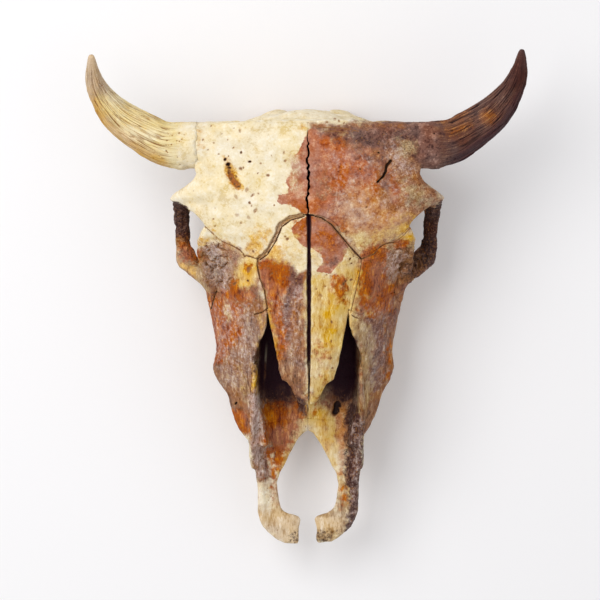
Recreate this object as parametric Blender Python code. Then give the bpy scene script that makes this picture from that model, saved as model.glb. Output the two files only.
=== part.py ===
"""American bison cow: the cranium with its horn cores and cheek teeth, without the lower jaw. It lies on its
last molars and occipital condyles with the forehead up.

Frame while modelling: x to the animal's left, y to the back of the head, z out of the forehead, in metres,
with y = 0 midway along the nasal bones. lay_down() then tips the skull onto the floor and puts the origin
under it.

The skull but for nasals, horn cores and teeth is joined from simple closed shapes into one skin, hollowed,
and sawn apart along its sutures.
"""

import math

import bmesh
import bpy
import numpy as np
from mathutils import Matrix, Vector

# Driving sizes of the whole skull
HALF_ORBITS = 0.139  # midline to the tip of the process behind the orbit
POLL_Y = 0.196  # back of the poll
HORN_ROOT = (0.116, 0.158, -0.029)  # centre of the plane where a horn core leaves the frontal bone
HORN_ROOT_RADIUS = 0.0235
MOLAR_Z = -0.154  # chewing face of the last molar
MOLAR_Y = 0.0055
CONDYLE = (0.031, 0.177, -0.121)
CONDYLE_RADII = (0.023, 0.020, 0.020)
FLAT = 0.0007  # depth of the flats it stands on
SUTURE = 0.0006  # gap between neighbouring bones, half of it where they come closest

# Detail of the meshes
VOXEL = 0.0024
SMOOTHING = 5
SKULL_FACES = 8800  # triangles of all bones but nasals, vomer and horn cores
SHORTEST = 0.000001  # edges below this length are closed up
HORN_RINGS, HORN_AROUND = 19, 20
TOOTH_AROUND = 10
HORN_SEED = 7
HORN_GROOVES = 0.05  # depth of a horn core's grooves, as a share of its radius
ABOVE_CROWN = 0.030  # a height that clears the forehead
GROUND = 0.4  # half the width of the block that cuts the flats

ROUGHNESS = 0.7
SHARP_EDGE = math.radians(50)
COLOURS = {
    "bone": (0.62, 0.52, 0.36),
    "frontal": (0.72, 0.60, 0.42),
    "horn": (0.42, 0.32, 0.20),
    "nasal": (0.66, 0.54, 0.34),
}

# Forehead and bridge of the nose. Rows of y, z of the midline, and how far the surface falls away at x = 0.1
# by the square and by the fourth power of x.
CROWN = [
    (-0.138, -0.055, 0.103, 0.004),
    (-0.125, -0.048, 0.103, -0.011),
    (-0.094, -0.028, 0.137, -0.068),
    (-0.069, -0.021, 0.114, -0.044),
    (-0.045, -0.0165, 0.063, 0.021),
    (-0.020, -0.012, 0.047, 0.034),
    (0.020, -0.005, 0.028, 0.038),
    (0.050, 0.000, 0.033, 0.005),
    (0.075, 0.003, 0.020, 0.0005),
    (0.100, 0.005, 0.012, 0.006),
    (0.130, 0.005, 0.009, 0.006),
    (0.160, 0.002, 0.008, 0.000),
    (0.180, -0.005, 0.012, 0.000),
    (0.188, -0.013, 0.014, 0.000),
]
# Outline of the forehead from above: y, half width
FOREHEAD = [
    (0.030, 0.100),
    (0.045, 0.104),
    (0.052, 0.107),
    (0.062, 0.111),
    (0.069, 0.110),
    (0.077, 0.105),
    (0.082, 0.110),
    (0.091, 0.120),
    (0.098, 0.130),
    (0.104, HALF_ORBITS),
    (0.109, 0.135),
    (0.113, 0.128),
    (0.122, 0.118),
    (0.131, 0.114),
    (0.140, 0.117),
    (0.160, 0.117),
    (0.177, 0.116),
    (0.180, 0.100),
    (0.182, 0.070),
    (0.184, 0.045),
]
# Face: y, x and z of the facial crest, x and z of the gum line outside the teeth, z of the palate
FACE = [
    (-0.150, 0.056, -0.102, 0.051, -0.114, -0.117),
    (-0.138, 0.065, -0.100, 0.057, -0.118, -0.118),
    (-0.126, 0.071, -0.098, 0.061, -0.124, -0.119),
    (-0.107, 0.079, -0.094, 0.067, -0.130, -0.119),
    (-0.094, 0.085, -0.092, 0.070, -0.131, -0.119),
    (-0.082, 0.092, -0.091, 0.071, -0.132, -0.119),
    (-0.069, 0.0955, -0.089, 0.073, -0.133, -0.118),
    (-0.050, 0.0925, -0.089, 0.075, -0.134, -0.118),
    (-0.030, 0.096, -0.088, 0.076, -0.135, -0.117),
    (-0.003, 0.100, -0.084, 0.077, -0.135, -0.115),
    (0.015, 0.104, -0.080, 0.075, -0.133, -0.112),
    (0.035, 0.109, -0.068, 0.068, -0.118, -0.100),
    (0.049, 0.107, -0.050, 0.056, -0.098, -0.090),
]
# Braincase and the wall between the orbits: y, half width, z of the underside
BRAINCASE = [
    (0.035, 0.040, -0.094),
    (0.060, 0.037, -0.092),
    (0.085, 0.045, -0.098),
    (0.110, 0.057, -0.106),
    (0.140, 0.064, -0.113),
    (0.165, 0.072, -0.114),
    (0.178, 0.060, -0.106),
]
# Nape: y, then the outline in x and z from the midline at the top to the midline below
NAPE = [
    (
        0.146,
        [
            (0, -0.020),
            (0.056, -0.026),
            (0.08, -0.052),
            (0.086, -0.080),
            (0.074, -0.098),
            (0.04, -0.108),
            (0, -0.112),
        ],
    ),
    (
        0.160,
        [
            (0, -0.018),
            (0.062, -0.026),
            (0.094, -0.052),
            (0.102, -0.080),
            (0.086, -0.100),
            (0.044, -0.110),
            (0, -0.114),
        ],
    ),
    (
        0.174,
        [
            (0, -0.018),
            (0.058, -0.030),
            (0.084, -0.055),
            (0.09, -0.080),
            (0.074, -0.096),
            (0.04, -0.106),
            (0, -0.112),
        ],
    ),
    (
        0.184,
        [
            (0, -0.022),
            (0.044, -0.034),
            (0.061, -0.053),
            (0.06, -0.076),
            (0.048, -0.088),
            (0.028, -0.094),
            (0, -0.096),
        ],
    ),
    (
        0.190,
        [
            (0, -0.030),
            (0.03, -0.038),
            (0.044, -0.052),
            (0.042, -0.068),
            (0.03, -0.080),
            (0.016, -0.084),
            (0, -0.086),
        ],
    ),
]
# Nasal bones from above: y, half width of the pair
NASAL_EDGE = [
    (-0.1066, 0.0042),
    (-0.1037, 0.0090),
    (-0.0990, 0.0118),
    (-0.0867, 0.0180),
    (-0.0830, 0.0230),
    (-0.0810, 0.0262),
    (-0.0700, 0.0296),
    (-0.0590, 0.0318),
    (-0.0413, 0.0354),
    (-0.0190, 0.0400),
    (0.0112, 0.0449),
    (0.0235, 0.0494),
    (0.0370, 0.0520),
    (0.0424, 0.0510),
    (0.0469, 0.0449),
    (0.0612, 0.0357),
    (0.0765, 0.0296),
    (0.0836, 0.0184),
    (0.0862, 0.0070),
]
NASAL_THICKNESS = 0.0055
# Dried crack down the midline: y, half width. Its middle lies CRACK_SHIFT to the animal's left.
CRACK = [
    (-0.1066, 0.0008),
    (-0.0800, 0.0010),
    (-0.0600, 0.0020),
    (0.0860, 0.0022),
    (0.1020, 0.0010),
    (0.1300, 0.0004),
]
CRACK_SHIFT = 0.0010
CRACK_DEPTH = 0.014
# Half width of the nose opening from above, by y
OPENING = [
    (-0.262, 0.0100),
    (-0.190, 0.0335),
    (-0.1836, 0.0350),
    (-0.1690, 0.0380),
    (-0.1495, 0.0420),
    (-0.1326, 0.0443),
    (-0.1210, 0.0468),
    (-0.1010, 0.0518),
    (-0.0823, 0.0532),
    (-0.0683, 0.0536),
    (-0.0566, 0.0508),
    (-0.0439, 0.0485),
    (-0.0332, 0.0445),
    (-0.0235, 0.0420),
    (-0.0085, 0.0418),
]
# Front of the nose on one side from above: y, inner edge, outer edge. The inner edge bounds the palatine
# fissure.
PREMAXILLA = [
    (-0.2465, 0.0100, 0.0200),
    (-0.2440, 0.0075, 0.0280),
    (-0.2385, 0.0076, 0.0360),
    (-0.2290, 0.0085, 0.0470),
    (-0.2215, 0.0062, 0.0500),
    (-0.2185, 0.0080, 0.0508),
    (-0.2165, 0.0180, 0.0512),
    (-0.2140, 0.0255, 0.0515),
    (-0.2050, 0.0288, 0.0515),
    (-0.1900, 0.0315, 0.0515),
    (-0.1780, 0.0290, 0.0530),
    (-0.1680, 0.0230, 0.0550),
    (-0.1520, 0.0150, 0.0570),
    (-0.1410, 0.0085, 0.0580),
    (-0.1350, 0.0030, 0.0585),
    (-0.1330, -0.0020, 0.0575),
    (-0.1200, -0.0020, 0.0560),
    (-0.1000, -0.0020, 0.0540),
]
# Its upper side: y, z of the floor inside, rise of the rim along the outer edge
PREMAXILLA_TOP = [
    (-0.2465, -0.113, 0.001),
    (-0.225, -0.109, 0.003),
    (-0.205, -0.107, 0.006),
    (-0.175, -0.107, 0.013),
    (-0.150, -0.1075, 0.017),
    (-0.100, -0.108, 0.006),
]
PREMAXILLA_BASE = -0.118
# The animal's left side is a little narrower out from NARROWING_START: y, remaining share
NARROWING_START = 0.0535
NARROWING = [
    (-0.160, 0.60),
    (-0.145, 0.42),
    (-0.138, 0.38),
    (-0.128, 0.55),
    (-0.093, 0.75),
    (-0.070, 0.785),
    (-0.044, 0.827),
    (-0.003, 0.87),
    (0.020, 0.87),
    (0.060, 0.955),
    (0.100, 0.98),
    (0.125, 1.00),
]

# Horn core: centre line and radius
HORN = [
    (*HORN_ROOT, HORN_ROOT_RADIUS),
    (0.143, 0.160, -0.033, 0.0240),
    (0.166, 0.171, -0.034, 0.0225),
    (0.193, 0.189, -0.029, 0.0190),
    (0.210, 0.209, -0.017, 0.0135),
    (0.218, 0.227, -0.003, 0.0095),
    (0.2205, 0.249, 0.016, 0.0025),
]

# Cheek teeth of one side: y of the middle, length, x, width, z of the chewing face
TEETH = [
    (-0.1115, 0.0150, 0.0525, 0.0130, -0.1440),
    (-0.0945, 0.0170, 0.0545, 0.0170, -0.1470),
    (-0.0765, 0.0175, 0.0565, 0.0195, -0.1490),
    (-0.0535, 0.0265, 0.0590, 0.0235, -0.1510),
    (-0.0250, 0.0290, 0.0610, 0.0250, -0.1530),
    (MOLAR_Y, 0.0300, 0.0620, 0.0240, MOLAR_Z),
]
VOMER = [(-0.098, -0.1035), (-0.080, -0.097), (-0.045, -0.090), (0.012, -0.084)]  # y, z of its upper edge
VOMER_HALF = 0.0018
VOMER_BASE = -0.1105

# Sutures from above, as paths of x, y on one side
FRONTAL_FRONT = [
    (0.038, 0.051),
    (0.0465, 0.0445),
    (0.054, 0.042),
    (0.0645, 0.0465),
    (0.0735, 0.054),
    (0.0835, 0.058),
    (0.093, 0.0635),
    (0.105, 0.075),
    (0.116, 0.086),
]
FRONTAL_BACK = [(0.030, 0.181), (0.052, 0.1815), (0.064, 0.186), (0.080, 0.202)]
LACRIMAL_FRONT = [
    (0.034, -0.0100),
    (0.0425, -0.0102),
    (0.054, -0.015),
    (0.066, -0.008),
    (0.075, 0.000),
    (0.086, 0.006),
    (0.0945, 0.0084),
]
CHEEKBONE = [
    (0.112, -0.008),
    (0.096, 0.000),
    (0.0932, 0.0125),
    (0.101, 0.035),
    (0.105, 0.050),
    (0.104, 0.064),
]
PREMAXILLA_BACK = [
    (0.046, -0.057),
    (0.055, -0.064),
    (0.0575, -0.080),
    (0.0595, -0.110),
    (0.060, -0.136),
    (0.070, -0.146),
]
PREMAXILLA_PALATE = [(0.020, -0.123), (0.045, -0.127), (0.060, -0.136), (0.070, -0.146)]
SPHENOID_FRONT = [(0.040, 0.051), (0.048, 0.058), (0.056, 0.072)]
SPHENOID_SIDE = [(0.0305, 0.149), (0.0305, 0.110), (0.038, 0.094), (0.062, 0.082)]
OCCIPITAL_FRONT = [(0.040, 0.148), (0.060, 0.152), (0.076, 0.158), (0.086, 0.170), (0.096, 0.192)]
PALATINE = [(0.020, -0.014), (0.031, -0.008), (0.034, 0.000), (0.034, 0.0515)]
ARCH = [(0.110, 0.084), (0.145, 0.092)]
# Heights of their level parts
FRONTAL_Z = -0.054
CHEEKBONE_Z = -0.061
LACRIMAL_Z = -0.080
PALATINE_Z = -0.072
PREMAXILLA_Z = -0.092

# A point near the middle of each bone's surface. Those off the midline come in pairs.
BONES = {
    "frontal": (0.059, 0.106, -0.025),
    "parietal": (0, 0.186, -0.031),
    "occipital": (0, 0.170, -0.101),
    "temporal": (0.077, 0.131, -0.088),
    "sphenoid": (0, 0.084, -0.090),
    "palatine": (0, 0.026, -0.099),
    "zygomatic": (0.115, 0.048, -0.080),
    "lacrimal": (0.070, 0.030, -0.050),
    "maxilla": (0.065, -0.040, -0.100),
    "premaxilla": (0.042, -0.147, -0.095),
}


def smooth_line(rows):
    """A function through rows of (place, value, ...) that is smooth and doesn't swing past them."""
    table = np.array(rows, float)
    place, value = table[:, 0], table[:, 1:]
    slope = np.diff(value, axis=0) / np.diff(place)[:, None]
    before, after = slope[:-1], slope[1:]
    total = np.where(before + after == 0, 1.0, before + after)
    tangent = np.zeros_like(value)
    tangent[1:-1] = np.where(before * after > 0, 2 * before * after / total, 0)
    tangent[0], tangent[-1] = slope[0], slope[-1]

    def at(where):
        where = np.clip(np.asarray(where, float), place[0], place[-1])
        i = np.clip(np.searchsorted(place, where) - 1, 0, len(place) - 2)
        length = (place[i + 1] - place[i])[..., None]
        t = (where - place[i])[..., None] / length
        return (
            (1 + 2 * t) * (1 - t) ** 2 * value[i]
            + t * (1 - t) ** 2 * length * tangent[i]
            + t * t * (3 - 2 * t) * value[i + 1]
            + t * t * (t - 1) * length * tangent[i + 1]
        )

    return at


def through(points, count, closed=False):
    """count points on a smooth curve through points."""
    points = np.asarray(points, float)
    last = len(points) if closed else len(points) - 1
    place = np.linspace(0, last, count, endpoint=not closed)
    i = np.minimum(place.astype(int), last - 1)
    t = (place - i)[:, None]

    def pick(k):
        return points[k % len(points)] if closed else points[np.clip(k, 0, len(points) - 1)]

    a, b, c, d = pick(i - 1), pick(i), pick(i + 1), pick(i + 2)
    return 0.5 * (2 * b + (c - a) * t + (2 * a - 5 * b + 4 * c - d) * t**2 + (3 * b - a - 3 * c + d) * t**3)


crown_at = smooth_line(CROWN)
forehead_at = smooth_line(FOREHEAD)
nasal_edge_at = smooth_line(NASAL_EDGE)
opening_at = smooth_line(OPENING)
crack_at = smooth_line(CRACK)
premaxilla_at = smooth_line(PREMAXILLA)
narrowing_at = smooth_line(NARROWING)


def crown_z(x, y):
    """Height of the forehead and the bridge of the nose."""
    midline, square, fourth = np.moveaxis(crown_at(y), -1, 0)
    share = np.abs(x) / 0.1
    return midline - square * share**2 - fourth * share**4


def loft(rings):
    """A closed skin over rings of equal point counts, as (points, faces)."""
    rows, around = rings.shape[:2]
    points = np.vstack([rings.reshape(-1, 3), rings[0].mean(0), rings[-1].mean(0)])
    first, last = len(points) - 2, len(points) - 1
    faces = []
    for j in range(around):
        k = (j + 1) % around
        faces.append((first, k, j))
        faces.append((last, (rows - 1) * around + j, (rows - 1) * around + k))
        for i in range(rows - 1):
            a, b = i * around, (i + 1) * around
            faces.append((a + j, a + k, b + k, b + j))
    return points, faces


def limb(path, radii, wide, around=14, rows=16, rounded=True):
    """A limb along path with oval sections. radii are half its width, along wide, and half its thickness."""
    centre = through(path, rows)
    half = through(radii, rows)
    along = np.gradient(centre, axis=0)
    along /= np.linalg.norm(along, axis=1)[:, None]
    wide = np.broadcast_to(np.asarray(wide, float), along.shape)
    across = wide - (wide * along).sum(1)[:, None] * along
    across /= np.linalg.norm(across, axis=1)[:, None]
    up = np.cross(along, across)
    turn = np.linspace(0, 2 * np.pi, around, endpoint=False)[None, :, None]
    rings = (
        centre[:, None]
        + np.cos(turn) * (half[:, :1] * across)[:, None]
        + np.sin(turn) * (half[:, 1:] * up)[:, None]
    )
    if rounded:
        steps = []
        for end, sign in ((0, -1), (-1, 1)):
            reach = half[end].min() * np.array([0.55, 0.9])
            shrink = np.array([0.80, 0.42])
            caps = [
                centre[end] + (rings[end] - centre[end]) * s + sign * along[end] * r
                for s, r in zip(shrink, reach)
            ]
            steps.append(caps)
        rings = np.concatenate([steps[0][::-1], rings, steps[1]])
    return loft(rings)


def ball(centre, radii, around=20, rows=12):
    """An ellipsoid."""
    latitude = np.linspace(0.12, np.pi - 0.12, rows)[:, None]
    turn = np.linspace(0, 2 * np.pi, around, endpoint=False)[None]
    unit = np.stack(
        [np.sin(latitude) * np.cos(turn), np.sin(latitude) * np.sin(turn), np.cos(latitude) + 0 * turn], -1
    )
    return loft(np.asarray(centre) + unit * np.asarray(radii))


def whole_outline(half):
    """A closed outline in x and z from its right half, which runs from the midline at the top to it below."""
    half = np.asarray(half, float)
    return np.vstack([half, half[-2:0:-1] * (-1, 1)])


def both_sides(path, middle):
    """A path in plan across the midline, where its y is middle, from its points on one side."""
    path = np.asarray(path, float)
    return np.vstack([path[::-1] * (-1, 1), [(0, middle)], path])


def blade(path, top, bottom, width):
    """A thin upright blade along a path in plan."""
    path = np.asarray(path, float)
    along = np.gradient(path, axis=0)
    along /= np.linalg.norm(along, axis=1)[:, None]
    step = np.stack([-along[:, 1], along[:, 0]], -1) * width / 2
    corners = [(path + step, top), (path - step, top), (path - step, bottom), (path + step, bottom)]
    return loft(np.stack([np.column_stack([place, np.full(len(path), z)]) for place, z in corners], 1))


def level_blade(outline, z, width):
    """A thin level blade with an outline in plan."""
    outline = [tuple(point) for point in outline]
    count = len(outline)
    points = np.array([(x, y, z + step) for step in (-width / 2, width / 2) for x, y in outline])
    faces = [tuple(range(count))[::-1], tuple(range(count, 2 * count))]
    faces += [(j, (j + 1) % count, count + (j + 1) % count, count + j) for j in range(count)]
    return points, faces


def sections(table, around=72, rows=60):
    """A skin through rows of (y, closed outline in x and z)."""
    flat = smooth_line([(y, *np.ravel(outline)) for y, outline in table])
    y = np.linspace(table[0][0], table[-1][0], rows)
    outlines = flat(y).reshape(rows, -1, 2)
    rings = np.array([through(outline, around, closed=True) for outline in outlines])
    return loft(np.stack([rings[..., 0], np.broadcast_to(y[:, None], rings.shape[:2]), rings[..., 1]], -1))


def plate(y, inner, outer, top, bottom, columns=24):
    """A plate with edges at x = inner and x = outer for each y, and faces at z = top and bottom of (x, y)."""
    y = np.asarray(y, float)[:, None]
    x = inner[:, None] + (outer - inner)[:, None] * np.linspace(0, 1, columns)
    y = np.broadcast_to(y, x.shape)
    upper = np.stack([x, y, top(x, y) + 0 * x], -1)
    lower = np.stack([x, y, bottom(x, y) + 0 * x], -1)
    return loft(np.concatenate([upper, lower[:, ::-1]], axis=1))


def mirrored(shape):
    """The same shape on the animal's other side."""
    points, faces = shape
    return points * (-1, 1, 1), [face[::-1] for face in faces]


def uneven(points):
    """Where points of an even skull lie in this one."""
    points = np.array(points, float)
    beyond = np.clip(points[:, 0] - NARROWING_START, 0, None)
    points[:, 0] -= beyond * (1 - narrowing_at(points[:, 1])[:, 0])
    return points


def to_object(name, *shapes):
    """One mesh object from closed shapes, each with its faces turned outwards."""
    mesh = bpy.data.meshes.new(name)
    build = bmesh.new()
    for points, faces in shapes:
        made = [build.verts.new(p) for p in points]
        for face in faces:
            build.faces.new([made[i] for i in face])
    bmesh.ops.recalc_face_normals(build, faces=build.faces[:])
    bmesh.ops.triangulate(build, faces=build.faces[:])
    build.to_mesh(mesh)
    build.free()
    item = bpy.data.objects.new(name, mesh)
    bpy.context.scene.collection.objects.link(item)
    return item


def discard(*items):
    for item in items:
        bpy.data.objects.remove(item)


def apply_modifiers(item):
    """Replaces the object's mesh by what its modifiers make of it."""
    graph = bpy.context.evaluated_depsgraph_get()
    made = bpy.data.meshes.new_from_object(item.evaluated_get(graph))
    item.modifiers.clear()
    item.data = made


def remesh(item):
    """Joins overlapping closed shapes into one skin."""
    step = item.modifiers.new("Remesh", "REMESH")
    step.mode = "VOXEL"
    step.voxel_size = VOXEL
    apply_modifiers(item)


def smooth(item):
    step = item.modifiers.new("Smooth", "SMOOTH")
    step.factor = 0.5
    step.iterations = SMOOTHING
    apply_modifiers(item)


def thin_out(item, count):
    """Keeps count triangles, fewest where the surface is flat."""
    step = item.modifiers.new("Decimate", "DECIMATE")
    step.ratio = count / len(item.data.polygons)
    step.use_collapse_triangulate = True
    apply_modifiers(item)


def combine(item, operation, other, solver="MANIFOLD"):
    """item cut by, or joined to, other. EXACT is slow on the dense skin, so only the small cuts use it."""
    step = item.modifiers.new("Boolean", "BOOLEAN")
    step.operation = operation
    step.solver = solver
    step.object = other
    apply_modifiers(item)


def cut(item, shape):
    points, faces = shape
    cutter = to_object("cutter", (uneven(points), faces))
    combine(item, "DIFFERENCE", cutter)
    discard(cutter)


def bodies(item):
    """The separate closed surfaces of an object, as shapes of triangles."""
    build = bmesh.new()
    build.from_mesh(item.data)
    bmesh.ops.triangulate(build, faces=build.faces[:])
    bmesh.ops.dissolve_degenerate(build, edges=build.edges[:], dist=SHORTEST)
    bmesh.ops.triangulate(build, faces=build.faces[:])
    backed = {}
    for face in build.faces:
        backed.setdefault(frozenset(face.verts), []).append(face)
    flaps = [face for group in backed.values() if len(group) > 1 for face in group]
    bmesh.ops.delete(build, geom=flaps, context="FACES")
    left = set(build.faces)
    shapes = []
    while left:
        stack = [left.pop()]
        group = list(stack)
        while stack:
            for edge in stack.pop().edges:
                for face in edge.link_faces:
                    if face in left:
                        left.discard(face)
                        group.append(face)
                        stack.append(face)
        index = {}
        faces = [tuple(index.setdefault(vert, len(index)) for vert in face.verts) for face in group]
        shapes.append((np.array([tuple(vert.co) for vert in index]), faces))
    build.free()
    return shapes


def volume(shape):
    points, faces = shape
    corners = points[np.array(faces)]
    return np.einsum("ij,ij->i", corners[:, 0], np.cross(corners[:, 1], corners[:, 2])).sum() / 6


def orbit_shapes():
    """Lower rim of the orbit and the bar behind it, the zygomatic arch, and the crest down the cheek."""
    rim = limb(
        [
            (0.133, 0.104, -0.036),
            (0.131, 0.096, -0.060),
            (0.1285, 0.080, -0.082),
            (0.1285, 0.058, -0.090),
            (0.1265, 0.0405, -0.088),
            (0.113, 0.0275, -0.078),
            (0.098, 0.014, -0.070),
        ],
        [
            (0.0060, 0.005),
            (0.0085, 0.005),
            (0.0090, 0.005),
            (0.0090, 0.005),
            (0.0090, 0.006),
            (0.0100, 0.008),
            (0.0120, 0.010),
        ],
        (-0.87, -0.10, -0.47),
        around=16,
        rows=30,
    )
    arch = limb(
        [
            (0.124, 0.044, -0.098),
            (0.127, 0.062, -0.101),
            (0.127, 0.082, -0.099),
            (0.121, 0.102, -0.094),
            (0.109, 0.122, -0.088),
            (0.095, 0.138, -0.083),
            (0.082, 0.148, -0.080),
        ],
        [
            (0.008, 0.0050),
            (0.008, 0.0045),
            (0.007, 0.0045),
            (0.007, 0.0045),
            (0.008, 0.0050),
            (0.010, 0.0070),
            (0.012, 0.0100),
        ],
        (0, 0, 1),
        rows=26,
    )
    crest = limb(
        [
            (0.1255, 0.0455, -0.094),
            (0.113, 0.0275, -0.093),
            (0.100, 0.006, -0.094),
            (0.094, -0.025, -0.094),
            (0.090, -0.052, -0.092),
            (0.0905, -0.069, -0.090),
            (0.082, -0.086, -0.092),
        ],
        [
            (0.008, 0.0070),
            (0.009, 0.0080),
            (0.008, 0.0060),
            (0.006, 0.0040),
            (0.006, 0.0040),
            (0.008, 0.0055),
            (0.006, 0.0050),
        ],
        (0, 0, 1),
        rows=30,
    )
    process = limb(
        [(0.100, 0.114, -0.016), (0.118, 0.110, -0.024), (0.130, 0.106, -0.032), (0.1375, 0.1035, -0.038)],
        [(0.013, 0.009), (0.0095, 0.008), (0.0065, 0.007), (0.0045, 0.0055)],
        (0, 1, 0),
    )
    upper_rim = limb(
        [
            (0.104, 0.022, -0.066),
            (0.107, 0.040, -0.056),
            (0.108, 0.052, -0.044),
            (0.107, 0.062, -0.034),
            (0.101, 0.073, -0.026),
        ],
        [(0.006, 0.007), (0.006, 0.006), (0.0055, 0.0055), (0.0055, 0.0055), (0.006, 0.005)],
        (0, 0, 1),
    )
    return [rim, arch, crest, process, upper_rim]


def forehead_shape():
    """The frontal bones with their orbital roofs, as a plate, thick at the midline and thin at the rim."""
    y = np.linspace(FOREHEAD[0][0], FOREHEAD[-1][0], 90)
    half = forehead_at(y)[:, 0]

    def underside(x, y):
        share = np.abs(x) / forehead_at(y)[..., 0]
        return crown_z(x, y) - 0.030 + 0.020 * np.clip(share / 0.6, 0, 1) ** 2

    return plate(y, -half, half, crown_z, underside, columns=90)


def face_shape():
    """Cheeks and palate: under the crown out to the facial crest, in to the gums and across the palate."""
    table = []
    for y, crest_x, crest_z, gum_x, gum_z, palate_z in FACE:
        bridge = [(crest_x * share, crown_z(crest_x * share, y)) for share in (0, 0.25, 0.5, 0.75, 0.92)]
        side = [
            (crest_x, crest_z),
            (crest_x * 0.95, crest_z - 0.013),
            (gum_x, gum_z),
            (gum_x - 0.018, gum_z),
            (gum_x - 0.029, palate_z),
            (0, palate_z),
        ]
        table.append((y, whole_outline(bridge + side)))
    return sections(table, around=90, rows=90)


def braincase_shape():
    table = []
    for y, half, under in BRAINCASE:
        outline = [
            (0, crown_z(0, y) - 0.008),
            (half * 0.9, crown_z(half, y) - 0.010),
            (half, -0.050),
            (half * 0.93, -0.078),
            (half * 0.45, under),
            (0, under - 0.002),
        ]
        table.append((y, whole_outline(outline)))
    return sections(table)


def base_shapes():
    """One side of the skull's underside: condyle, jugular process, bulla, ear, jaw joint and pterygoid."""
    condyle = ball(CONDYLE, CONDYLE_RADII)
    condyle_neck = limb(
        [(0.024, 0.140, -0.108), (0.028, 0.160, -0.113), (0.031, 0.172, -0.117)],
        [(0.017, 0.014), (0.018, 0.015), (0.020, 0.016)],
        (1, 0, 0),
    )
    jugular = limb(
        [(0.064, 0.166, -0.090), (0.062, 0.168, -0.108), (0.059, 0.170, -0.123), (0.057, 0.169, -0.130)],
        [(0.013, 0.010), (0.010, 0.007), (0.008, 0.006), (0.0055, 0.005)],
        (1, 0, 0),
    )
    bulla = ball((0.044, 0.134, -0.113), (0.012, 0.017, 0.013))
    ear = limb(
        [(0.060, 0.145, -0.088), (0.080, 0.146, -0.084), (0.094, 0.147, -0.082)],
        [(0.011, 0.012), (0.010, 0.011), (0.008, 0.009)],
        (0, 1, 0),
    )
    jaw_joint = ball((0.082, 0.120, -0.091), (0.022, 0.011, 0.008))
    joint_root = ball((0.070, 0.132, -0.084), (0.022, 0.018, 0.014))
    pterygoid = sections(
        [
            (0.012, [(0.020, -0.090), (0.033, -0.090), (0.033, -0.116), (0.024, -0.118)]),
            (0.040, [(0.021, -0.080), (0.031, -0.080), (0.031, -0.121), (0.024, -0.122)]),
            (0.066, [(0.021, -0.080), (0.029, -0.080), (0.029, -0.124), (0.023, -0.126)]),
            (0.080, [(0.020, -0.086), (0.028, -0.086), (0.028, -0.126), (0.022, -0.130)]),
            (0.098, [(0.018, -0.094), (0.026, -0.094), (0.025, -0.110), (0.020, -0.112)]),
        ],
        around=24,
        rows=30,
    )
    return [condyle, condyle_neck, jugular, bulla, ear, jaw_joint, joint_root, pterygoid]


def skull_base_shape():
    """The bar of bone from the back of the palate to the foramen magnum."""
    return limb(
        [(0, 0.040, -0.082), (0, 0.075, -0.090), (0, 0.110, -0.103), (0, 0.140, -0.111), (0, 0.172, -0.115)],
        [(0.019, 0.012), (0.018, 0.012), (0.020, 0.013), (0.025, 0.013), (0.027, 0.012)],
        (1, 0, 0),
        around=20,
        rows=24,
    )


def premaxilla_shapes():
    """One side of the front of the nose: its floor with the raised rim and hooked tip, and the process that
    climbs along the nose opening."""
    top_at = smooth_line(PREMAXILLA_TOP)
    y = np.linspace(PREMAXILLA[0][0], PREMAXILLA[-1][0], 120)
    inner, outer = premaxilla_at(y).T

    def top(x, y):
        floor, rise = np.moveaxis(top_at(y), -1, 0)
        share = np.clip((x - premaxilla_at(y)[..., 1] + 0.015) / 0.012, 0, 1)
        return floor + rise * share**2 * (3 - 2 * share)

    floor = plate(y, inner, outer, top, lambda x, y: PREMAXILLA_BASE, columns=36)
    process = limb(
        [
            (0.0555, -0.170, -0.100),
            (0.0570, -0.150, -0.092),
            (0.0560, -0.130, -0.082),
            (0.0555, -0.107, -0.070),
            (0.0555, -0.087, -0.058),
            (0.0550, -0.070, -0.047),
        ],
        [(0.010, 0.004), (0.013, 0.004), (0.016, 0.0045), (0.016, 0.004), (0.014, 0.0035), (0.010, 0.003)],
        (0, 0.4, -0.9),
        rows=24,
    )
    return [floor, process]


def nose_hollow():
    """The space behind the nose opening."""

    def section(half, top, floor):
        middle = (top + floor) / 2
        return whole_outline(
            [
                (0, top),
                (half * 0.7, top),
                (half, top + (middle - top) * 0.5),
                (half, middle),
                (half * 0.92, floor + 0.010),
                (half * 0.6, floor),
                (0, floor),
            ]
        )

    rows = [
        (-0.260, 0.0400, -0.030, -0.104),
        (-0.190, 0.0380, -0.030, -0.106),
        (-0.169, 0.0385, -0.030, -0.107),
        (-0.150, 0.0425, -0.020, -0.108),
        (-0.133, 0.0450, -0.020, -0.108),
        (-0.121, 0.0475, -0.020, -0.108),
        (-0.102, 0.0515, -0.020, -0.108),
        (-0.085, 0.0530, -0.022, -0.108),
        (-0.068, 0.0540, -0.022, -0.107),
        (-0.055, 0.0530, -0.021, -0.106),
        (-0.043, 0.0500, -0.021, -0.105),
        (-0.032, 0.0460, -0.020, -0.104),
        (-0.019, 0.0420, -0.018, -0.102),
        (0.010, 0.0370, -0.014, -0.096),
        (0.040, 0.0290, -0.011, -0.078),
        (0.060, 0.0160, -0.012, -0.050),
    ]
    return sections([(y, section(half, top, floor)) for y, half, top, floor in rows], rows=80)


def nose_opening():
    """The nose opening as seen from above, and with it the bed of the nasal bones."""
    y = np.linspace(-0.262, -0.0085, 110)
    half = opening_at(y)[:, 0]
    return plate(y, -half, half, lambda x, y: ABOVE_CROWN, lambda x, y: -0.075, columns=30)


def palatine_fissure():
    """The gap between the two premaxillae."""
    y = np.linspace(-0.262, -0.1340, 110)
    half = premaxilla_at(y)[:, 0]
    return plate(y, -half, half, lambda x, y: -0.080, lambda x, y: -0.150, columns=8)


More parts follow.
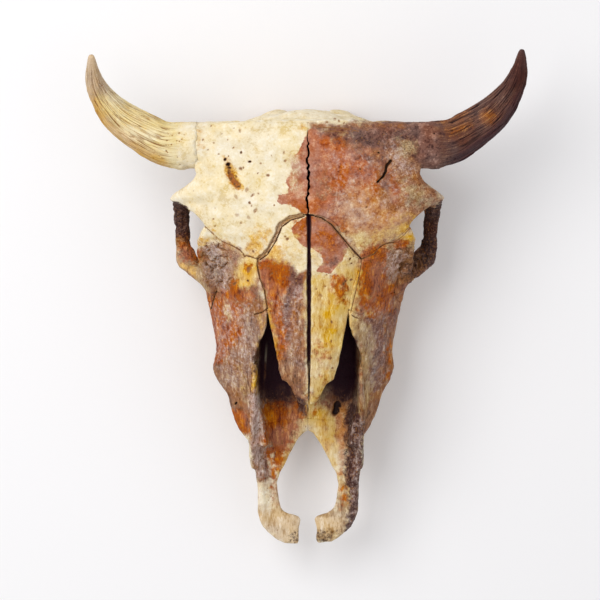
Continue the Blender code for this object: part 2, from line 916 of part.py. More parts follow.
def midline_crack():
    y = np.linspace(0.060, CRACK[-1][0], 24)
    half = crack_at(y)[:, 0]
    sides = CRACK_SHIFT - half, CRACK_SHIFT + half
    return plate(y, *sides, lambda x, y: ABOVE_CROWN, lambda x, y: crown_z(x, y) - CRACK_DEPTH, 3)


def hollows():
    """What is cut from the joined skull: the nose, its way out behind the palate, the foramen magnum, and on
    each side the groove over the eye, the opening for the nerve of the lip and the ear."""
    rear_passage = limb(
        [(0, -0.005, -0.088), (0, 0.030, -0.098), (0, 0.060, -0.112), (0, 0.085, -0.132)],
        [(0.015, 0.010), (0.016, 0.012), (0.016, 0.014), (0.016, 0.016)],
        (1, 0, 0),
    )
    foramen_magnum = limb(
        [(0, 0.135, -0.086), (0, 0.160, -0.090), (0, 0.180, -0.096), (0, 0.215, -0.102)],
        [(0.013, 0.012), (0.015, 0.014), (0.017, 0.016), (0.018, 0.018)],
        (1, 0, 0),
    )
    brow_groove = limb(
        [(0.070, 0.119, 0.006), (0.076, 0.128, 0.003), (0.080, 0.139, 0.002), (0.083, 0.146, 0.005)],
        [(0.0016, 0.009), (0.0026, 0.012), (0.0026, 0.012), (0.0016, 0.009)],
        (1, -0.4, 0),
    )
    cheek_opening = limb(
        [(0.050, -0.090, -0.090), (0.062, -0.106, -0.088), (0.070, -0.118, -0.085)],
        [(0.0025, 0.004), (0.0032, 0.005), (0.0036, 0.0055)],
        (1, 0, 0),
    )
    ear_opening = limb(
        [(0.080, 0.147, -0.084), (0.090, 0.147, -0.083), (0.110, 0.148, -0.081)],
        [(0.004, 0.004), (0.005, 0.005), (0.006, 0.006)],
        (0, 1, 0),
    )
    one_side = [brow_groove, cheek_opening, ear_opening]
    nose = [nose_hollow(), nose_opening(), palatine_fissure(), rear_passage]
    return [*nose, foramen_magnum, midline_crack(), *one_side, *[mirrored(shape) for shape in one_side]]


def joined_skull():
    """Everything but nasal bones, horn cores and teeth, as one smooth closed mesh."""
    root = np.array(HORN_ROOT)
    horn_stub = limb(
        [root + (-0.046, -0.002, 0.001), root + (-0.021, 0, 0), root + (0.014, 0, 0)],
        [(0.028, 0.022), (HORN_ROOT_RADIUS * 1.04, HORN_ROOT_RADIUS), (HORN_ROOT_RADIUS, HORN_ROOT_RADIUS)],
        (0, 1, 0),
        around=32,
        rounded=False,
    )
    poll = ball((0, 0.150, -0.046), (0.066, POLL_Y - 0.150, 0.043))
    one_side = [*orbit_shapes(), *base_shapes(), horn_stub]
    nape = sections([(y, whole_outline(outline)) for y, outline in NAPE])
    middle = [forehead_shape(), face_shape(), braincase_shape(), skull_base_shape(), nape, poll]
    skull = to_object("skull", *middle, *one_side, *[mirrored(shape) for shape in one_side])
    nose = to_object("nose", *premaxilla_shapes(), *[mirrored(shape) for shape in premaxilla_shapes()])
    for item in (skull, nose):
        remesh(item)
        for vert, place in zip(item.data.vertices, uneven([vert.co for vert in item.data.vertices])):
            vert.co = place
    for shape in hollows():
        cut(skull, shape)
    combine(skull, "UNION", nose)
    discard(nose)
    remesh(skull)
    smooth(skull)
    return skull


def nasal_rows():
    """The places in y where the edge of the nasal bones is followed."""
    between = [-0.093, -0.064, -0.050, -0.030, -0.012, 0.000, 0.030, 0.054, 0.069, 0.0806]
    return np.sort(np.append(np.array(NASAL_EDGE)[:, 0], between))


def nasal_shape(side):
    """One nasal bone, a long arched plate with two points at its free end. side is 1 for the left one."""
    y = nasal_rows()
    outer = nasal_edge_at(y)[:, 0]
    inner = np.minimum(crack_at(y)[:, 0] + side * CRACK_SHIFT, outer - 0.002)

    def top(x, y):
        half = 0.5 * nasal_edge_at(y)[..., 0]
        return crown_z(x, y) + 0.0005 - 0.0022 * np.clip((x - half) / half, 0, 1) ** 3

    shape = plate(y, inner, outer, top, lambda x, y: crown_z(x, y) - NASAL_THICKNESS, columns=5)
    return shape if side > 0 else mirrored(shape)


def nasal_bed(room):
    """What the nasal bones take out of the skull behind the nose opening, larger than they are by room."""
    y = nasal_rows()
    edge = np.column_stack([nasal_edge_at(y)[:, 0], y])
    along = np.gradient(edge, axis=0)
    edge += room * np.column_stack([along[:, 1], -along[:, 0]]) / np.linalg.norm(along, axis=1)[:, None]
    edge = np.vstack([edge[y > -0.013], edge[-1] + (0, room)])
    half, y = edge.T
    under = NASAL_THICKNESS + room
    return plate(y, -half, half, lambda x, y: ABOVE_CROWN, lambda x, y: crown_z(x, y) - under, columns=12)


def vomer_shape(room=0.0):
    """The upright plate on the floor of the nose. room makes it larger all round, for its slot."""
    top = smooth_line(VOMER)
    y = np.linspace(VOMER[0][0] - room, VOMER[-1][0] + room, 9)
    half = np.full(len(y), VOMER_HALF + room)
    base = VOMER_BASE - room
    return plate(y, -half, half, lambda x, y: top(y)[..., 0] + room, lambda x, y: base, columns=2)


def horn_shape():
    """A horn core: it leaves the forehead sideways, curves back and then up, and is grooved lengthwise."""
    table = np.array(HORN)
    centre = through(table[:, :3], HORN_RINGS)
    radius = through(table[:, 3:], HORN_RINGS)
    along = np.gradient(centre, axis=0)
    along[0] = (1, 0, 0)
    along /= np.linalg.norm(along, axis=1)[:, None]
    up = [np.array([0.0, 0.0, 1.0])]
    for direction in along[1:]:
        level = up[-1] - (up[-1] @ direction) * direction
        up.append(level / np.linalg.norm(level))
    up = np.array(up)
    side = np.cross(up, along)
    turn = np.linspace(0, 2 * np.pi, HORN_AROUND, endpoint=False)
    random = np.random.default_rng(HORN_SEED)
    groove = sum(np.cos(k * turn + random.uniform(0, 2 * np.pi)) for k in (4, 5, 7, 9)) / 4
    start = np.clip(np.arange(HORN_RINGS) / 3, 0, 1)[:, None]
    size = radius * (1 + HORN_GROOVES * groove * start)
    lift = (size * np.cos(turn))[..., None] * up[:, None]
    sway = (size * np.sin(turn))[..., None] * side[:, None]
    return loft(centre[:, None] + lift + sway)


def horn_bed(room):
    """The space outside the plane that a horn core starts from, behind the process at the orbit."""
    inner, outer = np.full((2, 2), [[HORN_ROOT[0] - room], [0.2]])
    return plate((0.131, 0.24), inner, outer, lambda x, y: 0.05, lambda x, y: -0.06, columns=2)


def tooth_shape(y, length, x, width, bottom):
    """A cheek tooth: a block with rounded corners, a waist between its lobes and a narrower root."""
    turn = np.linspace(0, 2 * np.pi, TOOTH_AROUND, endpoint=False)
    across = np.sign(np.cos(turn)) * np.abs(np.cos(turn)) ** 0.6 * (1 - 0.12 * np.cos(2 * turn).clip(0))
    along = np.sign(np.sin(turn)) * np.abs(np.sin(turn)) ** 0.6
    levels = ((-0.118, 0.80), (-0.134, 0.97), (bottom + 0.0015, 1.0), (bottom, 0.90))
    return loft(
        np.array(
            [
                np.column_stack(
                    [x + across * width / 2 * size, y + along * length / 2 * size, np.full(TOOTH_AROUND, z)]
                )
                for z, size in levels
            ]
        )
    )


def sutures(width):
    """What saws the skull into its bones: blades, each ending inside the next one's width, and the beds of
    nasal bones, vomer and horn cores."""
    lap = 0.3 * width
    high, low = ABOVE_CROWN, -0.170
    frontal_front = both_sides(FRONTAL_FRONT, 0.051)
    upright = [
        ([(0, -0.015), (0, 0.080), (0, 0.1815)], high, FRONTAL_Z - lap),
        ([(0, -0.015), (0, 0.0512)], FRONTAL_Z + 0.004, PALATINE_Z - lap),
        ([(0, -0.160), (0, -0.014)], LACRIMAL_Z, low),
        (frontal_front, high, FRONTAL_Z - lap),
        (both_sides(FRONTAL_BACK, 0.181), high, FRONTAL_Z - lap),
        (both_sides(OCCIPITAL_FRONT, 0.146), FRONTAL_Z + lap, low),
        (both_sides(SPHENOID_FRONT, 0.051), FRONTAL_Z + lap, low),
        (both_sides(PALATINE, -0.0155), PALATINE_Z + lap, low),
        (both_sides(PREMAXILLA_PALATE, -0.122), PREMAXILLA_Z + lap, low),
    ]
    upright_sides = [
        (SPHENOID_SIDE, FRONTAL_Z + lap, low),
        (ARCH, -0.075, -0.130),
        (CHEEKBONE, CHEEKBONE_Z + lap, low),
        (LACRIMAL_FRONT, high, LACRIMAL_Z - lap),
        ([(0.090, 0.0072), (0.0945, 0.0084), (0.120, 0.014)], high, CHEEKBONE_Z - lap),
        (PREMAXILLA_BACK, high, PREMAXILLA_Z - lap),
    ]
    level = [
        ([*frontal_front, (0.150, 0.092), (0.150, 0.205), (-0.150, 0.205), (-0.150, 0.092)], FRONTAL_Z),
        ([(-0.0341, -0.0158), (0.0341, -0.0158), (0.0341, 0.0511), (-0.0341, 0.0511)], PALATINE_Z),
    ]
    level_sides = [
        (
            [
                (0.090, -0.012),
                (0.120, -0.012),
                (0.120, 0.066),
                *[(x - lap, y) for x, y in CHEEKBONE[:2:-1]],
                (0.0931, 0.0125),
                (0.090, 0.006),
            ],
            CHEEKBONE_Z,
        ),
        (
            [
                *[(x, y + lap) for x, y in LACRIMAL_FRONT],
                *[(x + lap, y) for x, y in CHEEKBONE[2:]],
                (0.048, 0.0581),
                (0.040, 0.0511),
                (0.030, 0.0511),
                (0.030, -0.006),
            ],
            LACRIMAL_Z,
        ),
        (
            [
                (0.030, -0.058),
                *[(x + lap, y) for x, y in PREMAXILLA_BACK[:-1]],
                (0.045, -0.1271),
                (0.030, -0.1245),
            ],
            PREMAXILLA_Z,
        ),
    ]
    sides = [blade(*row, width) for row in upright_sides] + [level_blade(*row, width) for row in level_sides]
    middle = [blade(*row, width) for row in upright] + [level_blade(*row, width) for row in level]
    middle += [nasal_bed(width), vomer_shape(width)]
    sides += [horn_bed(width)]
    return middle + sides + [mirrored(shape) for shape in sides]


def bones_of(skull):
    """The bones of the sawn skull as shapes by name. Of each bone only the largest piece is kept."""
    found = {}
    for shape in bodies(skull):
        middle = shape[0].mean(0)
        name = min(BONES, key=lambda bone: np.linalg.norm(middle * (np.sign(middle[0]), 1, 1) - BONES[bone]))
        if BONES[name][0]:
            name += "_left" if middle[0] > 0 else "_right"
        found.setdefault(name, []).append(shape)
    return {name: max(shapes, key=volume) for name, shapes in found.items()}


def saw_apart(skull):
    """Saws the skull into its bones, thins them out, and saws again more finely where that made them meet."""
    for shape in sutures(SUTURE):
        cut(skull, shape)
    sawn = to_object("sawn", *bones_of(skull).values())
    thin_out(sawn, SKULL_FACES)
    for shape in sutures(SUTURE / 2):
        cut(sawn, shape)
    bones = {name: to_object(name, shape) for name, shape in bones_of(sawn).items()}
    discard(skull, sawn)
    return bones


def lay_down(bones):
    """Tips the skull until last molars and condyles are level, cuts their flats and puts the origin below."""
    rise = CONDYLE[2] - CONDYLE_RADII[2] - MOLAR_Z
    tip = Matrix.Rotation(-math.atan2(rise, CONDYLE[1] - MOLAR_Y), 4, "X")
    floor = (tip @ Vector((0, MOLAR_Y, MOLAR_Z))).z + FLAT
    for bone in bones:
        bone.data.transform(tip)
    left, right = np.full((2, 2), [[-GROUND], [GROUND]])
    ground = plate((-GROUND, GROUND), left, right, lambda x, y: floor, lambda x, y: floor - 0.1, columns=2)
    ground = to_object("ground", ground)
    for bone in bones:
        if min(vert.co.z for vert in bone.data.vertices) < floor:
            combine(bone, "DIFFERENCE", ground, "EXACT")
    discard(ground)
    corners = np.array([vert.co for bone in bones for vert in bone.data.vertices])
    middle = (corners.min(0) + corners.max(0)) / 2
    for bone in bones:
        bone.data.transform(Matrix.Translation((-middle[0], -middle[1], -floor)))


def finish(item):
    """Shades a bone smooth and gives it its material."""
    item.data.shade_smooth()
    item.data.set_sharp_from_angle(angle=SHARP_EDGE)
    material = bpy.data.materials.new(item.name)
    material.use_nodes = True
    shader = material.node_tree.nodes["Principled BSDF"]
    tint = COLOURS.get(item.name.split("_")[0], COLOURS["bone"])
    shader.inputs["Base Color"].default_value = (*tint, 1)
    shader.inputs["Roughness"].default_value = ROUGHNESS
    item.data.materials.clear()
    item.data.materials.append(material)


def main():
    for existing in list(bpy.data.objects):
        bpy.data.objects.remove(existing)
    skull = joined_skull()
    bones = saw_apart(skull)
    for side, name in ((1, "left"), (-1, "right")):
        bones["nasal_" + name] = to_object("nasal_" + name, nasal_shape(side))
        horn = horn_shape()
        bones["horn_core_" + name] = to_object("horn_core_" + name, horn if side > 0 else mirrored(horn))
        for row in TEETH:
            points, faces = tooth_shape(*row)
            tooth = to_object("tooth", (uneven(points), faces) if side > 0 else mirrored((points, faces)))
            combine(bones["maxilla_" + name], "UNION", tooth, "EXACT")
            discard(tooth)
    bones["vomer"] = to_object("vomer", vomer_shape())
    lay_down(list(bones.values()))
    for bone in bones.values():
        finish(bone)


if __name__ == "__main__":
    main()
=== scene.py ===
"""A dry bison skull without its lower jaw: weathered bone, stained on one side, bare horn cores.

Every bone of the frame gets a fine skin of its own. Places on the skull are given in its plan, in
mm: x to the animal's left, y to the back of the head and z out of the forehead, from the middle of
the nasal bones. The frame is the plan tipped by TILT, so that the skull lies on its last molars and
condyles.
"""

import functools
import math

import bmesh
import bpy
import numpy as np
from bpy.props import FloatProperty, FloatVectorProperty, IntProperty, PointerProperty
from mathutils import Matrix
from mathutils.bvhtree import BVHTree


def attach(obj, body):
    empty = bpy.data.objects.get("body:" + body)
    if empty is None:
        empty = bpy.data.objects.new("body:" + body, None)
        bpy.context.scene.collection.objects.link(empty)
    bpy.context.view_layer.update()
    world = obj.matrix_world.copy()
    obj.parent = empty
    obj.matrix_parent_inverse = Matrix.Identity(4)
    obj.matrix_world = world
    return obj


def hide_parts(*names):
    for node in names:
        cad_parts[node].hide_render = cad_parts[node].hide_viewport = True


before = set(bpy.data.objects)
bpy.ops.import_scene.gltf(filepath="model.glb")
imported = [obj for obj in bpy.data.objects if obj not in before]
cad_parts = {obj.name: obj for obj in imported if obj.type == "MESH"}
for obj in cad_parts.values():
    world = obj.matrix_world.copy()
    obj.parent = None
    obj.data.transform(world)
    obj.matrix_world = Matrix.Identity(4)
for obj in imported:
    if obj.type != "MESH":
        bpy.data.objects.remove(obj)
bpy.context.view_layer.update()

bl_info = {
    "name": "Bison Skull",
    "version": (1, 0, 0),
    "blender": (4, 5, 0),
    "location": "3D View > Sidebar > Skull",
    "description": "Builds a weathered bison skull bone by bone",
    "category": "Mesh",
}

MM = 0.001

# From the plan to the frame: a turn about x, a shift in y in mm, and the height of the floor in the
# turned plan, which becomes nought
TILT = math.atan2(13.0, 171.5)
SHIFT_Y = 1.25
FLOOR_Z = -153.275

FRONTALS = ["frontal_left", "frontal_right", "parietal"]
NASALS = ["nasal_left", "nasal_right"]
CHEEKS = ["lacrimal_left", "lacrimal_right", "zygomatic_left", "zygomatic_right"]
JAWS = ["maxilla_left", "maxilla_right", "premaxilla_left", "premaxilla_right"]
SKULL_BASE = ["occipital", "sphenoid", "palatine", "temporal_left", "temporal_right", "vomer"]

# From where to where in y umber comes in on the outer bar of each orbit, as painted shade
SHADED_BARS = {"zygomatic_left": (20, 62), "zygomatic_right": (46, 84)}

# The middle of the camera's view, in plan
VIEW_MIDDLE = (-8.16, 0.0, -20.0)

# Stains: layer, width of the soft edge in mm, strength and outline in plan. The umber outlines at
# the orbits' rims and on the walls of the nose are painted shade.
STAINS = [
    ("straw", 22, 0.3, [
        (-118, 184), (-47, 184), (-27, 169), (-47, 153), (-84, 147), (-106, 126), (-120, 135),
    ]),
    ("straw", 14, 0.4, [
        (-124, 106), (-104, 96), (-84, 69), (-73, 57), (-88, 55), (-106, 71), (-122, 92),
    ]),
    ("straw", 16, 0.36, [
        (-69, 80), (-39, 88), (-8, 86), (-27, 75), (-41, 55), (-59, 45), (-71, 57),
    ]),
    ("ochre", 8, 0.95, [(-59, 61), (-47, 63), (-42, 55), (-49, 44), (-59, 46), (-65, 52)]),
    ("ochre", 9, 0.7, [(-63, 68), (-51, 71), (-41, 69), (-39, 61), (-47, 53), (-63, 55)]),
    ("ochre", 9, 0.36, [(-110, 80), (-96, 75), (-78, 61), (-65, 49), (-75, 49), (-94, 59)]),
    ("ochre", 8, 0.4, [(-116, 180), (-107, 180), (-105, 157), (-111, 133), (-117, 135)]),
    ("ochre", 10, 0.36, [(-16, 182), (0, 180), (-1, 163), (-8, 157), (-12, 169)]),
    ("ochre", 4, 0.9, [
        (-86, 146), (-79, 143), (-73, 131), (-66, 118), (-68, 112), (-76, 114), (-84, 129),
    ]),
    ("amber", 3, 0.85, [
        (-83, 135), (-78, 133), (-74, 124), (-68, 117), (-71, 113), (-78, 118), (-82, 126),
    ]),
    ("brown", 8, 1.0, [
        (1, 182), (38, 182), (124, 184), (131, 131), (124, 120), (135, 106), (141, 98), (126, 90),
        (106, 76), (92, 61), (65, 51), (55, 44), (43, 55), (29, 73), (14, 85), (1, 89),
    ]),
    ("rust", 5, 1.0, [
        (3, 176), (-5, 161), (-9, 153), (-15, 146), (-17, 140), (-16, 132), (-21, 125), (-23, 120),
        (-20, 114), (-21, 108), (-30, 107), (-31, 100), (-28, 97), (-19, 98), (-12, 93), (-4, 87),
        (3, 88), (17, 85), (29, 75), (39, 78), (47, 96), (45, 126), (37, 153), (24, 167),
    ]),
    ("clay", 15, 1.0, [
        (14, 171), (41, 165), (63, 153), (75, 139), (73, 118), (61, 100), (45, 86), (31, 75),
        (18, 88), (12, 112), (10, 143),
    ]),
    ("clay", 10, 0.8, [(82, 131), (96, 126), (100, 106), (88, 96), (80, 112)]),
    ("plum", 14, 0.95, [
        (10, 176), (38, 175), (94, 183), (145, 186), (150, 153), (131, 131), (114, 137), (98, 155),
        (78, 151), (55, 153), (38, 163), (20, 169),
    ]),
    ("plum", 9, 0.7, [(43, 159), (65, 153), (80, 143), (69, 135), (51, 145)]),
    ("plum", 7, 0.6, [(78, 135), (88, 131), (86, 112), (73, 112), (71, 120)]),
    ("mauve", 12, 0.62, [(10, 135), (27, 126), (29, 106), (18, 96), (6, 104)]),
    ("sand", 13, 1.0, [
        (35, 112), (51, 118), (67, 110), (80, 96), (100, 90), (96, 73), (78, 60), (59, 51),
        (47, 58), (37, 73), (27, 88),
    ]),
    ("tan", 10, 0.8, [(96, 126), (112, 118), (126, 104), (135, 98), (114, 94), (96, 102)]),
    ("amber", 9, 0.62, [(22, 147), (37, 141), (43, 122), (35, 112), (24, 126)]),
    ("amber", 9, 0.5, [(10, 96), (29, 98), (43, 82), (37, 67), (22, 80)]),
    ("amber", 6, 0.55, [(-30, 105), (-16, 103), (-4, 97), (-8, 91), (-22, 97)]),
    ("ochre", 10, 0.75, [
        (65, 69), (78, 75), (101, 83), (118, 81), (106, 69), (92, 61), (78, 57), (65, 52),
    ]),
    ("straw", 8, 0.85, [(40, 65), (53, 70), (69, 63), (65, 51), (54, 44), (45, 54)]),
    ("tan", 8, 0.85, [(90, 167), (106, 165), (112, 151), (100, 143), (90, 153)]),
    ("tan", 9, 0.6, [(14, 176), (39, 173), (45, 167), (27, 165)]),
    ("frost", 9, 0.42, [
        (80, 165), (90, 163), (98, 147), (108, 131), (100, 122), (88, 133), (80, 143),
    ]),
    ("frost", 12, 0.1, [
        (3, 153), (18, 139), (22, 116), (14, 98), (1, 96), (-14, 98), (-12, 133), (-4, 151),
    ]),
    ("frost", 14, 0.18, [(12, 163), (73, 153), (124, 112), (94, 75), (53, 61), (18, 88)]),
    ("soot", 10, 0.34, [(38, 175), (145, 184), (150, 143), (118, 135), (89, 153), (45, 155)]),
    ("cream", 6, 0.9, [(-12, 192), (38, 192), (45, 183), (37, 178), (4, 180), (-4, 180)]),
    ("straw", 12, 0.6, [(-49, 39), (-33, 57), (-8, 71), (-2, 39), (-18, 35)]),
    ("brown", 6, 1.0, [
        (-50, 39), (-41, 43), (-18, 37), (-12, 23), (-2, 28), (-2, -31), (-2, -106), (-11, -101),
        (-20, -90), (-29, -84), (-41, -31),
    ]),
    ("ochre", 8, 0.85, [(-45, 47), (-35, 58), (-24, 53), (-23, 39), (-41, 37)]),
    ("amber", 5, 1.0, [
        (-51, 39), (-41, 42), (-30, 38), (-19, 37), (-19, 17), (-22, 6), (-32, 2), (-41, 3),
        (-49, 17),
    ]),
    ("plum", 6, 0.6, [(-47, 33), (-35, 37), (-29, 29), (-39, 20), (-47, 22)]),
    ("amber", 7, 0.9, [(-40, 6), (-28, 6), (-23, -31), (-21, -53), (-28, -61), (-33, -36)]),
    ("ochre", 5, 0.9, [(-46, 12), (-41, 10), (-36, -18), (-29, -53), (-32, -57), (-41, -22)]),
    ("plum", 4, 0.95, [
        (-21, 35), (-13, 35), (-12, 24), (-4, 27), (-4, 16), (-8, 8), (-15, 2), (-18, -22),
        (-19, -63), (-24, -63), (-26, -10), (-23, 4),
    ]),
    ("mauve", 9, 0.9, [
        (-24, -51), (-18, -43), (-8, -53), (-4, -80), (-4, -106), (-10, -102), (-18, -92),
        (-26, -84), (-30, -67),
    ]),
    ("mauve", 7, 0.7, [(-14, 0), (-5, 4), (-4, -41), (-8, -47), (-13, -31)]),
    ("plum", 5, 0.7, [(-22, -75), (-10, -73), (-4, -92), (-5, -106), (-12, -100), (-20, -90)]),
    ("sand", 4, 0.52, [(-47, 35), (-22, 35), (-22, 8), (-39, 6)]),
    ("frost", 5, 0.65, [(-14, 13), (-6, 14), (-5, 0), (-12, -2)]),
    ("frost", 9, 0.25, [(-39, 4), (-4, 4), (-4, -73), (-24, -67)]),
    ("rust", 2.5, 0.9, [(-7, 83), (-18, 73), (-14, 64), (-6, 55), (1, 53), (1, 86)]),
    ("rust", 2.5, 1.0, [
        (2, 86), (15, 83), (23, 76), (33, 67), (43, 57), (35, 40), (23, 27), (8, 29), (15, 38),
        (14, 46), (5, 52), (2, 53),
    ]),
    ("plum", 7, 0.62, [(18, 39), (29, 47), (33, 39), (22, 27)]),
    ("amber", 6, 0.6, [(-13, 80), (0, 84), (0, 61), (-10, 63)]),
    ("straw", 7, 1.0, [
        (1, 24), (10, 24), (23, 23), (36, 39), (43, 54), (55, 41), (55, 18), (51, -2), (47, -31),
        (42, -56), (36, -86), (27, -82), (18, -97), (7, -101), (1, -82),
    ]),
    ("ochre", 8, 0.8, [(18, 16), (29, 8), (27, -31), (24, -73), (18, -86), (16, -31)]),
    ("straw", 8, 0.75, [(14, 51), (3, 51), (3, 31), (12, 33)]),
    ("rust", 8, 0.42, [(4, -31), (12, -37), (14, -67), (8, -73), (3, -53)]),
    ("brown", 8, 0.85, [(39, 16), (50, 20), (49, -16), (45, -46), (37, -53), (38, -20)]),
    ("amber", 6, 0.8, [(24, 24), (37, 29), (43, 16), (38, -4), (31, -2), (24, 8)]),
    ("sand", 6, 0.55, [(3, 20), (22, 18), (37, 0), (33, -41), (22, -71), (4, -73)]),
    ("tan", 7, 1.0, [
        (-139, 65), (-133, 65), (-124, 51), (-106, 39), (-102, 10), (-110, 10), (-120, 24),
        (-135, 35),
    ]),
    ("ochre", 5, 0.7, [(-136, 49), (-130, 39), (-114, 31), (-116, 23), (-133, 33)]),
    ("brown", 6, 1.0, [
        (-120, 39), (-110, 54), (-86, 59), (-67, 49), (-49, 43), (-47, 0), (-94, 0), (-107, 14),
    ]),
    ("straw", 5, 1.0, [(-71, 50), (-49, 44), (-51, 37), (-65, 39)]),
    ("mauve", 6, 0.62, [
        (-114, 51), (-104, 60), (-88, 61), (-78, 55), (-69, 50), (-69, 39), (-74, 31), (-79, 18),
        (-86, 8), (-97, 8), (-107, 19), (-112, 37),
    ]),
    ("tan", 7, 0.8, [(-120, 45), (-110, 51), (-104, 43), (-106, 24), (-114, 31)]),
    ("plum", 6, 0.75, [(-107, 39), (-96, 39), (-88, 27), (-88, 12), (-98, 10), (-106, 20)]),
    ("rust", 7, 0.55, [(-88, 57), (-73, 51), (-73, 39), (-84, 39)]),
    ("frost", 6, 0.65, [(-88, 35), (-81, 36), (-78, 20), (-84, 10), (-91, 18)]),
    ("frost", 8, 0.5, [(-110, 57), (-86, 59), (-82, 33), (-94, 14), (-106, 22)]),
    ("ochre", 6, 0.7, [(-114, 69), (-104, 65), (-96, 61), (-106, 53), (-114, 55)]),
    ("straw", 6, 1.0, [
        (-71, 41), (-62, 45), (-51, 41), (-52, 24), (-55, 14), (-63, 10), (-71, 15), (-75, 28),
    ]),
    ("ochre", 6, 0.9, [(-69, 35), (-53, 33), (-55, 16), (-65, 14)]),
    ("amber", 3, 0.95, [(-64, 37), (-57, 37), (-57, 30), (-60, 27), (-64, 31)]),
    ("amber", 3, 0.95, [(-78, 21), (-71, 20), (-72, 12), (-78, 13)]),
    ("amber", 8, 0.85, [(-88, 14), (-67, 12), (-53, 10), (-57, -4), (-71, -6), (-88, 0)]),
    ("rust", 6, 0.7, [(-82, 51), (-69, 47), (-69, 35), (-78, 35)]),
    ("soot", 6, 0.26, [(-112, 55), (-84, 55), (-82, 12), (-104, 14)]),
    ("brown", 6, 1.0, [
        (43, 39), (54, 45), (80, 57), (98, 65), (116, 61), (129, 51), (131, 39), (118, 27),
        (108, 8), (90, -12), (45, -16),
    ]),
    ("tan", 7, 0.8, [(78, 61), (94, 65), (112, 61), (114, 49), (94, 47), (80, 45)]),
    ("amber", 7, 1.0, [
        (55, 54), (65, 58), (81, 56), (80, 39), (78, 27), (83, 13), (71, 10), (61, 1), (53, 7),
        (54, 31),
    ]),
    ("ochre", 5, 0.8, [(45, 39), (53, 39), (55, 24), (51, 10), (45, 16)]),
    ("amber", 4, 1.0, [(88, 60), (96, 62), (102, 59), (101, 53), (92, 51), (88, 54)]),
    ("ochre", 6, 0.7, [(96, 69), (108, 72), (112, 61), (108, 53), (102, 55)]),
    ("mauve", 6, 1.0, [
        (80, 48), (90, 51), (104, 51), (118, 49), (124, 39), (114, 27), (96, 15), (86, 15),
        (79, 24), (78, 39),
    ]),
    ("plum", 7, 0.85, [
        (98, 43), (124, 55), (135, 43), (126, 29), (112, 18), (102, 8), (92, 2), (90, 20),
    ]),
    ("frost", 7, 0.56, [(80, 47), (94, 53), (102, 45), (96, 29), (86, 20), (78, 31)]),
    ("soot", 6, 0.5, [(94, 45), (129, 51), (129, 31), (106, 16), (96, 20)]),
    ("sand", 5, 0.5, [(98, 39), (114, 43), (118, 35), (104, 29)]),
    ("brown", 5, 1.0, [
        (-110, 15), (-84, 6), (-47, 4), (-43, -12), (-45, -46), (-52, -82), (-49, -114),
        (-55, -143), (-73, -131), (-88, -96), (-101, -73), (-104, -31),
    ]),
    ("amber", 9, 1.0, [
        (-104, 2), (-88, 0), (-84, -18), (-71, -22), (-69, -33), (-78, -47), (-84, -57), (-92, -67),
        (-100, -63), (-104, -26),
    ]),
    ("amber", 6, 1.0, [(-81, -2), (-69, 0), (-67, -14), (-75, -19), (-82, -11)]),
    ("sand", 6, 0.7, [(-88, 0), (-63, 0), (-63, -22), (-82, -24)]),
    ("straw", 5, 0.75, [(-88, -2), (-80, -4), (-78, -22), (-85, -26)]),
    ("mauve", 9, 0.95, [
        (-66, 11), (-52, 11), (-45, 0), (-48, -12), (-46, -33), (-52, -53), (-56, -73), (-61, -86),
        (-69, -73), (-72, -51), (-69, -26), (-68, -5),
    ]),
    ("mauve", 10, 0.8, [
        (-96, -51), (-78, -41), (-65, -51), (-63, -86), (-69, -106), (-84, -86), (-96, -71),
    ]),
    ("plum", 7, 0.6, [(-63, 10), (-53, 8), (-53, -12), (-61, -20), (-65, -10)]),
    ("ochre", 5, 0.95, [(-53, -12), (-45, -12), (-44, -33), (-50, -51), (-55, -47), (-53, -31)]),
    ("frost", 7, 0.5, [(-69, -27), (-59, -29), (-59, -53), (-65, -63), (-71, -47)]),
    ("tan", 9, 0.8, [(-78, -53), (-65, -59), (-59, -82), (-59, -104), (-69, -104), (-78, -82)]),
    ("straw", 7, 0.6, [(-73, -63), (-66, -69), (-62, -98), (-68, -98), (-73, -82)]),
    ("amber", 5, 0.95, [(-80, -110), (-63, -116), (-57, -137), (-69, -137), (-80, -122)]),
    ("frost", 12, 0.28, [(-102, 0), (-47, 0), (-53, -82), (-80, -98), (-98, -61)]),
    ("brown", 5, 1.0, [
        (43, -6), (55, 8), (88, 18), (104, 10), (94, -41), (94, -75), (82, -98), (67, -135),
        (53, -143), (51, -122), (51, -87), (45, -46),
    ]),
    ("amber", 9, 0.9, [(50, 12), (65, 4), (86, 16), (88, 0), (82, -14), (65, -16), (51, -12)]),
    ("ochre", 4, 0.8, [(58, 4), (64, 2), (65, -18), (60, -18)]),
    ("plum", 14, 0.9, [
        (67, -20), (88, 0), (96, -10), (90, -46), (92, -78), (80, -92), (69, -73), (71, -46),
    ]),
    ("tan", 9, 0.95, [
        (43, -14), (55, -18), (65, -27), (68, -51), (66, -84), (63, -112), (57, -131), (54, -102),
        (54, -82), (50, -51), (45, -31),
    ]),
    ("sand", 8, 0.6, [(45, -18), (59, -24), (65, -57), (61, -94), (53, -82), (49, -51)]),
    ("amber", 9, 0.55, [(78, -31), (88, -41), (88, -82), (80, -86)]),
    ("plum", 6, 0.7, [(55, -116), (67, -112), (61, -135), (55, -139)]),
    ("frost", 12, 0.19, [(49, 0), (90, 0), (88, -82), (65, -112), (53, -82)]),
    ("brown", 8, 1.0, [
        (-57, -53), (-8, -94), (4, -94), (38, -53), (55, -82), (55, -133), (41, -153), (-2, -126),
        (-41, -151), (-55, -122),
    ]),
    ("oat", 6, 0.85, [(-107, 51), (-84, 55), (-75, 39), (-80, 18), (-98, 16), (-106, 33)]),
    ("mauve", 6, 1.1, [
        (-97, -51), (-86, -59), (-71, -98), (-61, -131), (-71, -137), (-88, -104), (-99, -73),
    ]),
    ("mauve", 7, 1.1, [
        (80, -27), (92, -41), (94, -73), (82, -104), (65, -135), (57, -126), (71, -94), (80, -63),
    ]),
    ("tan", 6, 0.75, [
